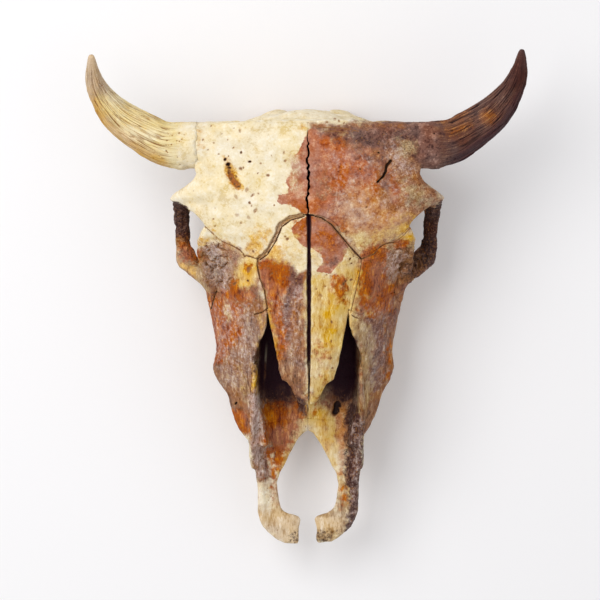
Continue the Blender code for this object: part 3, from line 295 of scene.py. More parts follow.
        (-135, 63), (-120, 57), (-108, 51), (-106, 31), (-114, 18), (-129, 31), (-137, 45),
    ]),
    ("oat", 8, 0.55, [(-22, 155), (-6, 153), (-3, 106), (-24, 105)]),
    ("amber", 8, 0.62, [(4, 86), (29, 69), (39, 55), (31, 43), (18, 39), (10, 57)]),
    ("amber", 12, 0.45, [(3, -37), (22, -37), (24, -82), (4, -86)]),
    ("amber", 7, 1.25, [(55, 52), (78, 55), (78, 24), (55, 16)]),
    ("plum", 14, 0.7, [(49, -18), (86, -12), (90, -51), (78, -94), (55, -112), (51, -51)]),
    ("amber", 8, 1.0, [(65, 16), (88, 16), (86, -12), (67, -14)]),
    ("amber", 6, 1.0, [(-135, 61), (-114, 55), (-108, 39), (-129, 39)]),
    ("frost", 5, 1.0, [(-59, -98), (-50, -96), (-46, -135), (-55, -139)]),
    ("cream", 8, 0.8, [(-53, -188), (-39, -186), (-35, -214), (-51, -216)]),
    ("oat", 7, 0.85, [(6, -222), (31, -220), (39, -226), (31, -239), (14, -243), (6, -239)]),
    # Painted shade on the rims of the orbits
    ("umber", 2, 1.2, [(-143, 101), (-135, 100), (-124, 96), (-120, 84), (-145, 84)]),
    ("umber", 2, 1.2, [(131, 96), (136, 101), (147, 102), (149, 84), (129, 84)]),
    # Painted shade on the walls of the nose
    ("umber", 12, 0.85, [
        (-57, -53), (-47, -73), (-24, -90), (-8, -100), (-18, -106), (-37, -110), (-51, -104),
    ]),
    ("umber", 10, 0.8, [(53, -61), (37, -87), (24, -94), (29, -106), (45, -110), (51, -98)]),
    ("amber", 10, 1.0, [
        (-47, -110), (-29, -102), (-10, -102), (-4, -114), (-8, -129), (-15, -144), (-21, -159),
        (-29, -177), (-37, -177), (-43, -143),
    ]),
    ("ochre", 7, 0.75, [(-39, -114), (-24, -116), (-27, -143), (-31, -165), (-39, -153)]),
    ("plum", 5, 0.6, [(-29, -106), (-18, -104), (-14, -114), (-22, -122), (-29, -118)]),
    ("umber", 4, 0.9, [(-12, -98), (-2, -100), (-2, -120), (-10, -116)]),
    ("straw", 5, 1.0, [
        (-14, -120), (-2, -122), (-2, -135), (-12, -149), (-20, -165), (-29, -184), (-32, -177),
        (-24, -155), (-20, -139),
    ]),
    ("straw", 7, 1.0, [
        (0, -96), (14, -100), (24, -112), (29, -133), (30, -153), (31, -171), (24, -175),
        (14, -157), (0, -137),
    ]),
    ("ochre", 7, 0.7, [(4, -106), (18, -106), (22, -133), (27, -159), (20, -163), (10, -139)]),
    ("amber", 4, 0.62, [(6, -104), (10, -104), (9, -122), (5, -120)]),
    ("amber", 5, 0.7, [(10, -102), (20, -102), (22, -116), (12, -114)]),
    ("sand", 8, 0.9, [
        (24, -106), (39, -102), (43, -122), (39, -159), (35, -186), (30, -173), (28, -143),
    ]),
    ("brown", 6, 0.8, [(33, -106), (43, -106), (43, -122), (39, -159), (35, -186), (33, -153)]),
    ("ochre", 4, 0.85, [(-60, -67), (-52, -61), (-51, -86), (-47, -120), (-51, -116), (-57, -94)]),
    ("mauve", 5, 1.0, [
        (-60, -100), (-54, -90), (-51, -110), (-47, -133), (-42, -155), (-38, -182), (-47, -188),
        (-56, -184), (-59, -153), (-60, -128),
    ]),
    ("frost", 4, 0.68, [(-58, -139), (-50, -137), (-46, -163), (-52, -173), (-57, -161)]),
    ("frost", 5, 0.45, [(-59, -96), (-52, -88), (-43, -153), (-39, -182), (-55, -182)]),
    ("amber", 4, 0.85, [
        (-50, -102), (-45, -122), (-39, -149), (-33, -173), (-31, -194), (-37, -190), (-43, -159),
        (-48, -133),
    ]),
    ("oat", 8, 1.0, [
        (-57, -180), (-47, -184), (-29, -180), (-27, -204), (-18, -212), (-4, -216), (-4, -251),
        (-24, -251), (-47, -235), (-59, -204),
    ]),
    ("amber", 7, 0.55, [(-47, -182), (-33, -182), (-29, -204), (-37, -214), (-47, -204)]),
    ("sand", 6, 0.6, [
        (-51, -216), (-37, -228), (-18, -241), (-6, -245), (-12, -253), (-41, -241), (-55, -224),
    ]),
    ("soot", 3, 0.42, [(-18, -239), (-4, -233), (-4, -251), (-22, -251)]),
    ("frost", 6, 0.45, [(-53, -192), (-43, -190), (-41, -212), (-51, -212)]),
    ("tan", 8, 1.0, [
        (4, -214), (27, -214), (31, -194), (35, -182), (45, -204), (49, -224), (35, -243),
        (18, -249), (2, -247),
    ]),
    ("umber", 7, 0.97, [
        (38, -114), (43, -104), (51, -108), (57, -128), (58, -153), (57, -184), (55, -204),
        (54, -219), (47, -237), (39, -241), (38, -231), (42, -218), (43, -204), (40, -192),
        (38, -177), (39, -153),
    ]),
    ("tan", 7, 0.9, [(45, -82), (53, -82), (53, -112), (49, -133), (43, -129), (47, -107)]),
    ("amber", 6, 0.7, [(31, -186), (38, -190), (41, -204), (35, -216), (30, -209), (34, -199)]),
    ("frost", 5, 0.3, [(43, -122), (57, -122), (57, -184), (53, -219), (41, -235), (43, -194)]),
    ("sand", 5, 0.62, [(37, -133), (45, -129), (45, -204), (39, -224), (35, -204)]),
    ("soot", 3, 0.45, [(4, -235), (33, -237), (18, -251), (2, -249)]),
]

# Layers of stain, from the lowest to the topmost: dark, middle and light tone, size in mm of the
# ragged edge, how ragged it is, and how wide it fades
TONES = {
    "brown": ("#6E3E24", "#A06A44", "#C99A6E", 12, 1.8, 0.30),
    "rust": ("#99573A", "#B47355", "#D09A7C", 5, 0.9, 0.05),
    "clay": ("#8A4428", "#B0633C", "#CC8E66", 14, 2.2, 0.40),
    "plum": ("#54322B", "#7E5648", "#A87E6C", 11, 2.4, 0.30),
    "sand": ("#A0633C", "#C48C5E", "#E2BA8C", 8, 2.2, 0.35),
    "tan": ("#84613F", "#B0916A", "#D8BF96", 9, 2.2, 0.30),
    "straw": ("#C09248", "#DEBD78", "#F0D9A0", 8, 1.8, 0.30),
    "oat": ("#B8966C", "#D9BF9A", "#EEDCC2", 7, 1.6, 0.25),
    "ochre": ("#B77C2C", "#D9A84C", "#EBC97C", 9, 2.2, 0.30),
    "mauve": ("#62402B", "#986B4D", "#C29C76", 7, 2.0, 0.30),
    "amber": ("#722A04", "#AA540C", "#D07E22", 7, 2.2, 0.30),
    # Umber is also painted shade, on the orbits' rims and bars and on the walls of the nose
    "umber": ("#28120F", "#4E3029", "#806052", 6, 1.6, 0.22),
    "frost": ("#B8948A", "#D2B8AC", "#F0E6DE", 4, 2.2, 0.45),
    "soot": ("#1E0E0C", "#3E2620", "#5E4034", 2.5, 2.6, 0.40),
    "cream": ("#E4CFA0", "#EFDFBC", "#FAF0D8", 6, 1.4, 0.25),
}

# Layers whose tones lie in clouds. Those of the others are finer, and in streaks along the face.
IN_CLOUDS = ("rust", "clay", "plum", "sand", "cream")

# How rough the bone is under some layers, from nought to one. Rust lies on smoother bone.
ROUGH_STAINS = {"amber": 0.7, "mauve": 1.0, "plum": 0.6, "umber": 1.0}

# Tones of the skull's underside, which the sun doesn't reach
UNDERSIDE = ("#9A7044", "#C39C68", "#DDBE8E")

# Tones of the horn cores: dark, middle and light. Those below are painted shade on the lower side,
# and browner as well. At its root the straw one has those of the bleached bone.
STRAW_CORE = {
    "all": ("#C99C54", "#EED9A2", "#F8EBC2"),
    "patch": ("#C8AC6C", "#E6D29A", "#F6EAC0"),
    "below": ("#B07C46", "#D8B274", "#EED6A4"),
    "tip": ("#A07C5C", "#D2B48E", "#ECDABC"),
}
UMBER_CORE = {
    "all": ("#3E2222", "#6A463A", "#A47C5E"),
    "patch": ("#5A2C1C", "#8A5636", "#C08A58"),
    "below": ("#2E1820", "#4A2C2E", "#72504A"),
    "tip": ("#2C1412", "#50302A", "#7E5446"),
    "root": TONES["plum"][:3],
}

# Patterns of the bone: size in mm of the clouds and of the grains, and the grains' share
BROAD = (12, 2.6, 0.45)
CLOUDY = (9, 2.2, 0.45)
EVEN = (5, 1.7, 0.65)

# Pores of dry bone, which are some 0.3 mm wide and drawn as 1.4 mm, so that they show
OPEN_PORES = {"Scale": 1 / (1.4 * MM), "Detail": 4, "Roughness": 0.7}

# Pits and small holes: x, y, radius, depth, darkness. The darkness is brown dirt, turning from
# about a half upwards to near-black painted shade, as in the holes.
PITS = [
    (-104.0, 185.6, 1.2, 0.8, 0.4),
    (-98.9, 177.5, 1.4, 0.8, 0.45),
    (-87.7, 169.3, 1.2, 0.6, 0.4),
    (-77.5, 182.6, 1.1, 0.6, 0.35),
    (-69.4, 172.4, 1.8, 0.7, 0.35),
    (-107.1, 163.2, 1.3, 0.9, 0.5),
    (-102.0, 153.0, 1.2, 0.8, 0.45),
    (-95.9, 160.1, 1.0, 0.6, 0.35),
    (-81.6, 163.2, 1.2, 0.6, 0.35),
    (-84.3, 143.2, 1.9, 3.0, 1.0),
    (-81.6, 138.2, 2.5, 3.0, 1.0),
    (-79.6, 134.6, 1.6, 2.5, 0.9),
    (-80.7, 129.0, 1.6, 1.9, 0.75),
    (-78.1, 123.9, 1.7, 1.7, 0.7),
    (-74.5, 118.5, 1.5, 1.5, 0.7),
    (-70.4, 115.7, 1.5, 1.4, 0.75),
    (-73.2, 125.9, 1.4, 1.2, 0.4),
    (-68.1, 150.1, 1.4, 2.0, 0.8),
    (-75.9, 155.1, 1.2, 1.0, 0.45),
    (-59.2, 140.8, 1.7, 3.0, 1.0),
    (-68.3, 133.7, 2.0, 1.0, 0.4),
    (-65.8, 134.4, 1.3, 0.9, 0.4),
    (-51.0, 129.1, 1.2, 1.2, 0.45),
    (-41.2, 126.9, 2.1, 1.1, 0.45),
    (-47.9, 139.1, 1.6, 0.8, 0.3),
    (-36.9, 147.1, 1.0, 0.8, 0.35),
    (-24.5, 150.1, 1.9, 0.8, 0.35),
    (-23.3, 141.8, 1.9, 0.8, 0.35),
    (-90.8, 148.7, 1.1, 0.8, 0.3),
    (-72.8, 105.1, 2.6, 0.6, 0.28),
    (-62.0, 112.2, 2.3, 0.7, 0.34),
    (-56.3, 106.7, 2.5, 0.8, 0.36),
    (-50.6, 108.3, 1.8, 0.7, 0.36),
    (-59.6, 98.7, 1.8, 1.6, 0.62),
    (-57.5, 95.9, 1.6, 1.0, 0.4),
    (-53.7, 90.8, 2.5, 0.8, 0.36),
    (-72.0, 86.1, 2.5, 0.5, 0.28),
    (-60.0, 84.0, 2.3, 0.6, 0.3),
    (-68.3, 78.5, 1.6, 0.6, 0.3),
    (-94.9, 75.5, 1.4, 0.9, 0.4),
    (-96.3, 82.6, 1.2, 0.7, 0.35),
    (71.9, 149.9, 1.3, 3.0, 1.0),
    (52.9, 133.3, 1.3, 3.0, 1.0),
    (59.4, 94.5, 1.4, 1.4, 0.5),
    (27.1, 184.4, 1.8, 0.8, 0.5),
    (18.6, 181.4, 1.6, 0.8, 0.5),
    (31.6, 182.6, 1.5, 0.8, 0.5),
    (36.7, 180.1, 1.4, 0.8, 0.6),
    (-20.8, 62.4, 2.2, 1.4, 0.6),
    (-23.1, 64.5, 1.3, 1.0, 0.45),
    (-55.9, 49.4, 1.6, 1.2, 0.5),
    (-60.6, 31.0, 2.8, 0.9, 0.5),
    (-74.9, 16.7, 2.2, 1.2, 0.6),
    (-61.0, 19.8, 1.6, 1.6, 0.8),
    (-64.7, 44.3, 1.1, 1.2, 0.7),
    (-99.8, 52.2, 1.3, 2.0, 0.8),
    (42.6, 42.0, 1.4, 1.6, 0.8),
    (44.1, 37.3, 1.1, 1.2, 0.7),
    (46.3, 44.5, 0.9, 1.0, 0.6),
    (36.1, 16.7, 1.8, 1.0, 0.7),
    (38.4, 19.2, 1.2, 1.0, 0.7),
    (44.5, 20.6, 1.6, 1.0, 0.6),
    (13.1, 4.5, 2.4, 0.7, 0.4),
    (24.1, -22.4, 1.4, 0.8, 0.6),
    (23.7, -41.8, 1.6, 0.8, 0.6),
    (23.5, -59.2, 1.6, 0.8, 0.6),
    (24.9, -69.4, 1.3, 0.8, 0.6),
    (32.6, -108.1, 2.8, 3.0, 1.0),
    (31.4, -113.7, 2.6, 3.0, 1.0),
    (-73.4, -106.1, 1.8, 2.4, 1.0),
]

# Trenches along sutures and folds: width, depth, darkness, then points in plan. The darkness is
# brown dirt, turning from about a half upwards to near-black painted shade, as in deep clefts and a
# hole of the palate.
TRENCHES = [
    (4.8, 1.9, 0.42, [
        (-6.1, 86.7), (-18.4, 83.6), (-29.1, 76.5), (-35.2, 61.2), (-44.4, 46.9), (-51.0, 42.2),
    ]),
    (1.5, 2.6, 0.95, [
        (-4.1, 85.1), (-17.3, 81.4), (-26.7, 74.5), (-32.6, 60.4), (-41.8, 45.9), (-49.0, 41.0),
    ]),
    (1.9, 1.9, 1.0, [
        (3.1, 86.3), (14.0, 83.6), (24.0, 76.8), (30.6, 69.1), (39.4, 58.1), (49.4, 46.9),
        (54.9, 41.6),
    ]),
    (5.2, 1.0, 0.26, [(10.2, 84.7), (24.0, 76.8), (30.6, 69.1), (39.4, 58.1), (49.4, 46.9)]),
    (6.4, 2.0, 0.28, [(-81.1, 134.6), (-77.5, 124.4), (-70.4, 116.3)]),
    (3.0, 3.4, 1.0, [(84.2, 141.8), (80.2, 137.2), (79.2, 131.1), (76.1, 125.5), (71.0, 120.4)]),
    (1.2, 0.9, 0.6, [(-105.7, 75.8), (-89.2, 60.5), (-78.7, 56.1)]),
    (1.5, 1.2, 0.8, [(-78.7, 56.1), (-69.4, 51.0), (-64.7, 45.3), (-59.2, 44.3), (-51.0, 41.8)]),
    (1.4, 1.1, 0.8, [
        (55.1, 41.8), (62.2, 44.9), (66.8, 46.5), (73.4, 54.1), (79.6, 57.7), (87.7, 58.8),
    ]),
    (1.2, 0.8, 0.5, [(87.7, 58.8), (96.9, 65.3), (106.1, 75.5)]),
    (2.0, 1.2, 0.7, [(-51.0, 40.8), (-51.4, 34.7), (-49.0, 21.4), (-44.3, 11.2), (-41.4, -8.2)]),
    (1.3, 0.9, 0.6, [(54.7, 40.8), (52.0, 22.4), (47.5, 4.1), (43.9, -12.2)]),
    (1.6, 1.4, 0.95, [(-40.8, -8.2), (-46.9, -12.6), (-54.1, -14.7)]),
    (1.6, 1.4, 1.0, [(44.5, -14.9), (47.5, -17.3), (51.6, -19.0)]),
    (1.4, 1.8, 1.0, [(-93.4, 9.8), (-95.5, 4.1), (-97.3, -2.0), (-99.3, -9.2)]),
    (5.0, 2.6, 0.45, [(92.8, 30.6), (95.9, 37.7), (101.0, 41.2), (106.1, 40.8)]),
    (8.4, 3.0, 1.0, [(30.2, -107.1), (28.6, -115.3)]),
    (1.4, 0.8, 0.4, [(8.2, 176.1), (22.4, 175.8), (38.8, 174.4), (51.0, 171.8)]),
    (1.2, 0.6, 0.4, [(16.3, 171.8), (28.6, 172.0), (40.8, 169.9)]),
]

# Horn core: centre line in plan and radius
HORN = [
    (116.0, 158.0, -29.0, 23.5),
    (143.0, 160.0, -33.0, 24.0),
    (166.0, 171.0, -34.0, 22.5),
    (193.0, 189.0, -29.0, 19.0),
    (210.0, 209.0, -17.0, 13.5),
    (218.0, 227.0, -3.0, 9.5),
    (220.5, 249.0, 16.0, 2.5),
]

# Where the top of the frame's bones is taken along the midline: each y, and x beside the slit
MIDLINE_Y = (-85, -55, -25, 5, 35, 65, 100, 130, 150, 160, 170, 180)
MIDLINE_X = 5

# Where sutures have grown together: least and greatest distance from the midline, then least and
# greatest y
HEALED = [
    (112, 150, 131, 200),
    (0, 90, 174, 210),
    (0, 62, -143, -112),
    (58, 88, -17, 8),
    (88, 109, 10, 68),
]

# Small shifts of the bones' edges in plan, in which the skull's sides differ: x, y, radius, and the
# shift in x and in y
NUDGES = [
    (-25, -236, 46, -1.5, -4.5),
    (12, -238, 46, 0.5, -4.5),
    (-94, -71, 25, -2.5, 0.0),
    (-72, -127, 28, -3.0, -1.0),
    (85, -73, 22, 1.5, 0.0),
    (65, -117, 30, 2.5, 0.0),
    (127, 43, 18, 2.5, -2.5),
    (-132, 39, 14, -1.0, -1.5),
    (-107, 15, 20, 3.5, 1.0),
    (103, 17, 18, -2.5, 1.0),
    (-116, 51, 16, 0.0, 7.0),
    (113, 51, 16, 0.0, 8.0),
]

# Craggy ground in front of the orbits: x, y, radius
CRAGS = [(-97, 42, 20), (-92, 22, 17), (102, 42, 19), (110, 30, 16)]

# The roof of the nose, under the bridge: y, z
NOSE_ROOF = [(-210, -79), (-50, -28), (-22, -34), (-8, -48)]

# Random values on a cube of CELLS cells along each edge, which repeats in all directions
CELLS = 64
LATTICE = np.random.default_rng(11).random((CELLS, CELLS, CELLS))


def hex_colour(text):
    """An sRGB hex colour as linear red, green and blue."""
    values = np.array([int(text[i : i + 2], 16) for i in (1, 3, 5)]) / 255
    return tuple(np.where(values <= 0.04045, values / 12.92, ((values + 0.055) / 1.055) ** 2.4))


def turned_back(x, y, z):
    """Directions or shifted places of the frame as seen in the plan: turned about x by TILT."""
    turned_y = y * math.cos(TILT) - z * math.sin(TILT)
    turned_z = y * math.sin(TILT) + z * math.cos(TILT)
    return np.column_stack([x, turned_y, turned_z])


def to_plan(points):
    """Frame points in metres as plan points in mm: shifted to the plan's middle, then turned
    back."""
    x, y, z = (points / MM).T
    return turned_back(x, y - SHIFT_Y, z + FLOOR_Z)


def from_plan(points):
    """Plan points in mm as frame points in metres."""
    x, y, z = np.asarray(points, float).T
    turned_y = y * math.cos(TILT) + z * math.sin(TILT)
    turned_z = z * math.cos(TILT) - y * math.sin(TILT)
    return np.column_stack([x, turned_y + SHIFT_Y, turned_z - FLOOR_Z]) * MM


def ramp(value, start, end):
    """Nought at start, one at end, and smooth in between."""
    t = np.clip((value - start) / (end - start), 0, 1)
    return t * t * (3 - 2 * t)


def noise(points, size, seed=0):
    """Random values from -1 to 1 on a cubic lattice of edge size, blended smoothly between its
    corners."""
    place = points / size + np.array([3.7, 11.3, 7.9]) * (seed + 1)
    cell = np.floor(place).astype(int)
    t = place - cell
    t = t * t * (3 - 2 * t)
    total = np.zeros(len(points))
    for corner in np.ndindex(2, 2, 2):
        share = np.prod(np.where(corner, t, 1 - t), axis=1)
        total += share * LATTICE[tuple(((cell + corner) % CELLS).T)]
    return 2 * total - 1


def rough_noise(points, size, octaves, seed=0):
    """Noise summed over octaves, each of half the size and half the weight of the one before."""
    weights = 0.5 ** np.arange(octaves)
    layers = [w * noise(points, size * w, seed + 5 * i) for i, w in enumerate(weights)]
    return sum(layers) / weights.sum()


def pores(points, size, share, seed=0):
    """Round pits on a cubic lattice of edge size. A cell has one with a chance of share, at a
    random place and with a radius of 0.2 to 0.5 of size. The value inside it is (1 - (distance /
    radius) squared) squared."""
    place = points / size
    cell = np.floor(place).astype(int)
    deepest = np.zeros(len(points))
    for step in np.ndindex(3, 3, 3):
        corner = cell + step - 1
        x, y, z = ((corner + 13 * seed) % CELLS).T
        jitter = np.column_stack([LATTICE[x, y, z], LATTICE[y, z, x], LATTICE[z, x, y]])
        radius = 0.2 + 0.3 * LATTICE[x, z, y]
        here = LATTICE[(x + 31) % CELLS, y, z] < share
        reach = np.linalg.norm(place - corner - jitter, axis=1) / radius
        deepest = np.maximum(deepest, here * np.clip(1 - reach**2, 0, None) ** 2)
    return deepest


def off_path(plan, path):
    """Distance in plan from points to a line of straight pieces."""
    nearest = np.full(len(plan), np.inf)
    path = np.asarray(path, float)
    for start, end in zip(path[:-1], path[1:]):
        along = end - start
        t = np.clip((plan[:, :2] - start) @ along / (along @ along), 0, 1)[:, None]
        nearest = np.minimum(nearest, np.linalg.norm(plan[:, :2] - start - t * along, axis=1))
    return nearest


def depth_in(plan, outline):
    """How deep points lie inside an outline in plan, in mm and below nought outside: the distance
    to the nearest of its sides, with the sign from how often a line to the right crosses it."""
    x, y = plan[:, 0], plan[:, 1]
    inside = np.zeros(len(plan), bool)
    outline = np.asarray(outline, float)
    for (x1, y1), (x2, y2) in zip(outline, np.roll(outline, -1, axis=0)):
        if y1 != y2:
            inside ^= ((y1 > y) != (y2 > y)) & (x < (x2 - x1) * (y - y1) / (y2 - y1) + x1)
    nearest = off_path(plan, np.vstack([outline, outline[:1]]))
    return np.where(inside, nearest, -nearest)


def stain_layers(plan):
    """For each layer how far its stains reach: 0.5 on an outline, and 0 and 1 at its soft edge's
    two sides, times the stain's strength."""
    layers = {name: np.zeros(len(plan)) for name in TONES}
    for name, edge, strength, outline in STAINS:
        low, high = np.min(outline, axis=0) - edge, np.max(outline, axis=0) + edge
        near = np.all((plan[:, :2] > low) & (plan[:, :2] < high), axis=1)
        here = strength * np.clip(0.5 + depth_in(plan[near], outline) / (2 * edge), 0, 1)
        layers[name][near] = np.maximum(layers[name][near], here)
    return layers


def through(points, count):
    """count points on a smooth curve through points, each stretch a cubic set by the two points at
    either side."""
    points = np.asarray(points, float)
    place = np.linspace(0, len(points) - 1, count)
    i = np.minimum(place.astype(int), len(points) - 2)
    t = (place - i)[:, None]
    a, b, c, d = (points[np.clip(i + k, 0, len(points) - 1)] for k in (-1, 0, 1, 2))
    square, cube = 2 * a - 5 * b + 4 * c - d, 3 * b - a - 3 * c + d
    return 0.5 * (2 * b + (c - a) * t + square * t**2 + cube * t**3)


def add(tree, kind, inputs=None, out=0, **settings):
    """Adds a node with its settings, fills its sockets with values or links and returns one of its
    outputs, if it has any."""
    node = tree.nodes.new(kind)
    for name, value in settings.items():
        setattr(node, name, value)
    for key, value in (inputs or {}).items():
        if isinstance(value, bpy.types.NodeSocket):
            tree.links.new(value, node.inputs[key])
        else:
            node.inputs[key].default_value = value
    return node.outputs[out] if node.outputs else None


def new_material(name):
    """An empty material, with its tree and its shader."""
    material = bpy.data.materials.new(name)
    material.use_nodes = True
    return material, material.node_tree, material.node_tree.nodes["Principled BSDF"]


def toned(tree, tones, value):
    """A colour that goes from the dark tone over the middle one to the light one as value grows
    past 0.5, near which most of a noise's values lie."""
    dark, middle, light = ((*tone, 1) for tone in tones)
    below = {"Value": value, "From Min": 0.40, "From Max": 0.485}
    above = {"Value": value, "From Min": 0.515, "From Max": 0.60}
    lower = add(tree, "ShaderNodeMapRange", below, interpolation_type="SMOOTHSTEP")
    upper = add(tree, "ShaderNodeMapRange", above, interpolation_type="SMOOTHSTEP")
    inputs = {"Factor": lower, "A": dark, "B": middle}
    colour = add(tree, "ShaderNodeMix", inputs, out="Result", data_type="RGBA")
    inputs = {"Factor": upper, "A": colour, "B": light}
    return add(tree, "ShaderNodeMix", inputs, out="Result", data_type="RGBA")


def mottle(tree, place, coarse, fine, share):
    """Clouds of size coarse and grains of size fine in mm, the grains with the given share."""
    clouds = {"Vector": place, "Scale": 1 / (coarse * MM), "Detail": 4, "Roughness": 0.6}
    grains = {"Vector": place, "Scale": 1 / (fine * MM), "Detail": 5, "Roughness": 0.7}
    clouds = add(tree, "ShaderNodeTexNoise", clouds)
    grains = add(tree, "ShaderNodeTexNoise", grains)
    return add(tree, "ShaderNodeMix", {"Factor": share, "A": clouds, "B": grains})


def drifting(tree, place, colour):
    """A colour that drifts over the surface in clouds 26 mm wide, its saturation by 16% either way
    and its brightness by 8% down and 2% up."""
    size, deeper = 26 * MM, 0.16
    cloud = {"Vector": place, "Scale": 1 / size, "Detail": 3, "Roughness": 0.6}
    first = add(tree, "ShaderNodeTexNoise", cloud)
    second = add(tree, "ShaderNodeTexNoise", {**cloud, "Scale": 1.9 / size})
    spread = {"From Min": 0.35, "From Max": 0.65}
    saturation = {"Value": first, **spread, "To Min": 1 - deeper, "To Max": 1 + deeper}
    brightness = {"Value": second, **spread, "To Min": 1 - 0.5 * deeper, "To Max": 1.02}
    inputs = {
        "Saturation": add(tree, "ShaderNodeMapRange", saturation),
        "Value": add(tree, "ShaderNodeMapRange", brightness),
        "Color": colour,
    }
    return add(tree, "ShaderNodeHueSaturation", inputs)


def stain_mask(tree, name, ragged, wear, fade):
    """How much of a stain shows, from nought to one. The attribute name says how far the stain
    reaches, wear times the ragged noise tears its edge, and fade is half the edge's width. Where
    the attribute is nearly nought there is no stain."""
    reach = add(tree, "ShaderNodeAttribute", out="Fac", attribute_name=name)
    inputs = {"Value": reach, "From Min": 0.02, "From Max": 0.2}
    stained = add(tree, "ShaderNodeMapRange", inputs)
    inputs = {0: ragged, 1: wear, 2: reach}
    torn = add(tree, "ShaderNodeMath", inputs, operation="MULTIPLY_ADD")
    middle = 0.5 + wear / 2
    inputs = {"Value": torn, "From Min": middle - fade, "From Max": middle + fade}
    mask = add(tree, "ShaderNodeMapRange", inputs, interpolation_type="SMOOTHSTEP")
    return add(tree, "ShaderNodeMath", {0: mask, 1: stained}, operation="MULTIPLY")


def weathered_bone(look):
    """Dry compact bone that lay in the open. It is matt, cream where the sun bleached it and
    stained by soil elsewhere, in streaks along the face; some of the umber is painted shade. Its
    underside is tan. Brown dirt lies in its pits; painted shade darkens its holes and deep clefts,
    the nose and the slit between the nasals; and its concave places are darker."""
    material, tree, shader = new_material("Weathered bone")
    place = add(tree, "ShaderNodeTexCoord", out="Object")
    inputs = {0: place, 1: (1.0, 0.26, 0.6)}
    lengthwise = add(tree, "ShaderNodeVectorMath", inputs, operation="MULTIPLY")
    streaks = add(tree, "ShaderNodeAttribute", out="Fac", attribute_name="streaks")
    broad, cloudy, even = (mottle(tree, place, *sizes) for sizes in (BROAD, CLOUDY, EVEN))
    drawn_out = mottle(tree, lengthwise, 5, 1.6, 0.5)
    inputs = {"Factor": streaks, "A": even, "B": drawn_out}
    tight = add(tree, "ShaderNodeMix", inputs)

    bleached = toned(tree, (look.bone_dark, look.bone_middle, look.bone_light), broad)
    sheltered = toned(tree, [hex_colour(tone) for tone in UNDERSIDE], broad)
    under = add(tree, "ShaderNodeAttribute", out="Fac", attribute_name="under")
    inputs = {"Factor": under, "A": bleached, "B": sheltered}
    colour = add(tree, "ShaderNodeMix", inputs, out="Result", data_type="RGBA")
    for name, (*tones, size, wear, fade) in TONES.items():
        inputs = {"Vector": place, "Scale": 1 / (size * MM), "Detail": 7, "Roughness": 0.68}
        ragged = add(tree, "ShaderNodeTexNoise", inputs)
        mask = stain_mask(tree, name, ragged, wear, fade)
        stain = [hex_colour(tone) for tone in tones]
        stain = toned(tree, stain, cloudy if name in IN_CLOUDS else tight)
        inputs = {"Factor": mask, "A": colour, "B": stain}
        colour = add(tree, "ShaderNodeMix", inputs, out="Result", data_type="RGBA")
    colour = drifting(tree, place, colour)

    dirt_and_shade = add(tree, "ShaderNodeAttribute", out="Fac", attribute_name="dirt_and_shade")
    light = {"Value": dirt_and_shade, "From Min": 0.02, "From Max": 0.5, "To Max": 0.9}
    painted_hole_shade = {"Value": dirt_and_shade, "From Min": 0.45, "From Max": 0.95}
    # Brown dirt; near-black painted shade in holes and deep clefts; dark painted shade in the nose
    # and the slit
    shades = (
        (add(tree, "ShaderNodeMapRange", light), "#99683C"),
        (add(tree, "ShaderNodeMapRange", painted_hole_shade), "#24120E"),
        (add(tree, "ShaderNodeAttribute", out="Fac", attribute_name="deep"), "#2A0D19"),
    )
    for mask, shade in shades:
        inputs = {"Factor": mask, "A": colour, "B": (*hex_colour(shade), 1)}
        colour = add(tree, "ShaderNodeMix", inputs, out="Result", data_type="RGBA")

    rough = add(tree, "ShaderNodeAttribute", out="Fac", attribute_name="rough")
    strength = add(tree, "ShaderNodeMapRange", {"Value": rough, "To Min": 0.45, "To Max": 1.0})
    height = add(tree, "ShaderNodeTexNoise", {"Vector": place, **OPEN_PORES})
    bump = {"Strength": strength, "Distance": 1.0 * MM, "Height": height}
    matt = {"Value": tight, "From Min": 0.3, "From Max": 0.7, "To Min": 0.5, "To Max": 0.75}
    tree.links.new(colour, shader.inputs["Base Color"])
    tree.links.new(add(tree, "ShaderNodeMapRange", matt), shader.inputs["Roughness"])
    tree.links.new(add(tree, "ShaderNodeBump", bump), shader.inputs["Normal"])
    shader.inputs["Specular IOR Level"].default_value = look.gloss
    return material


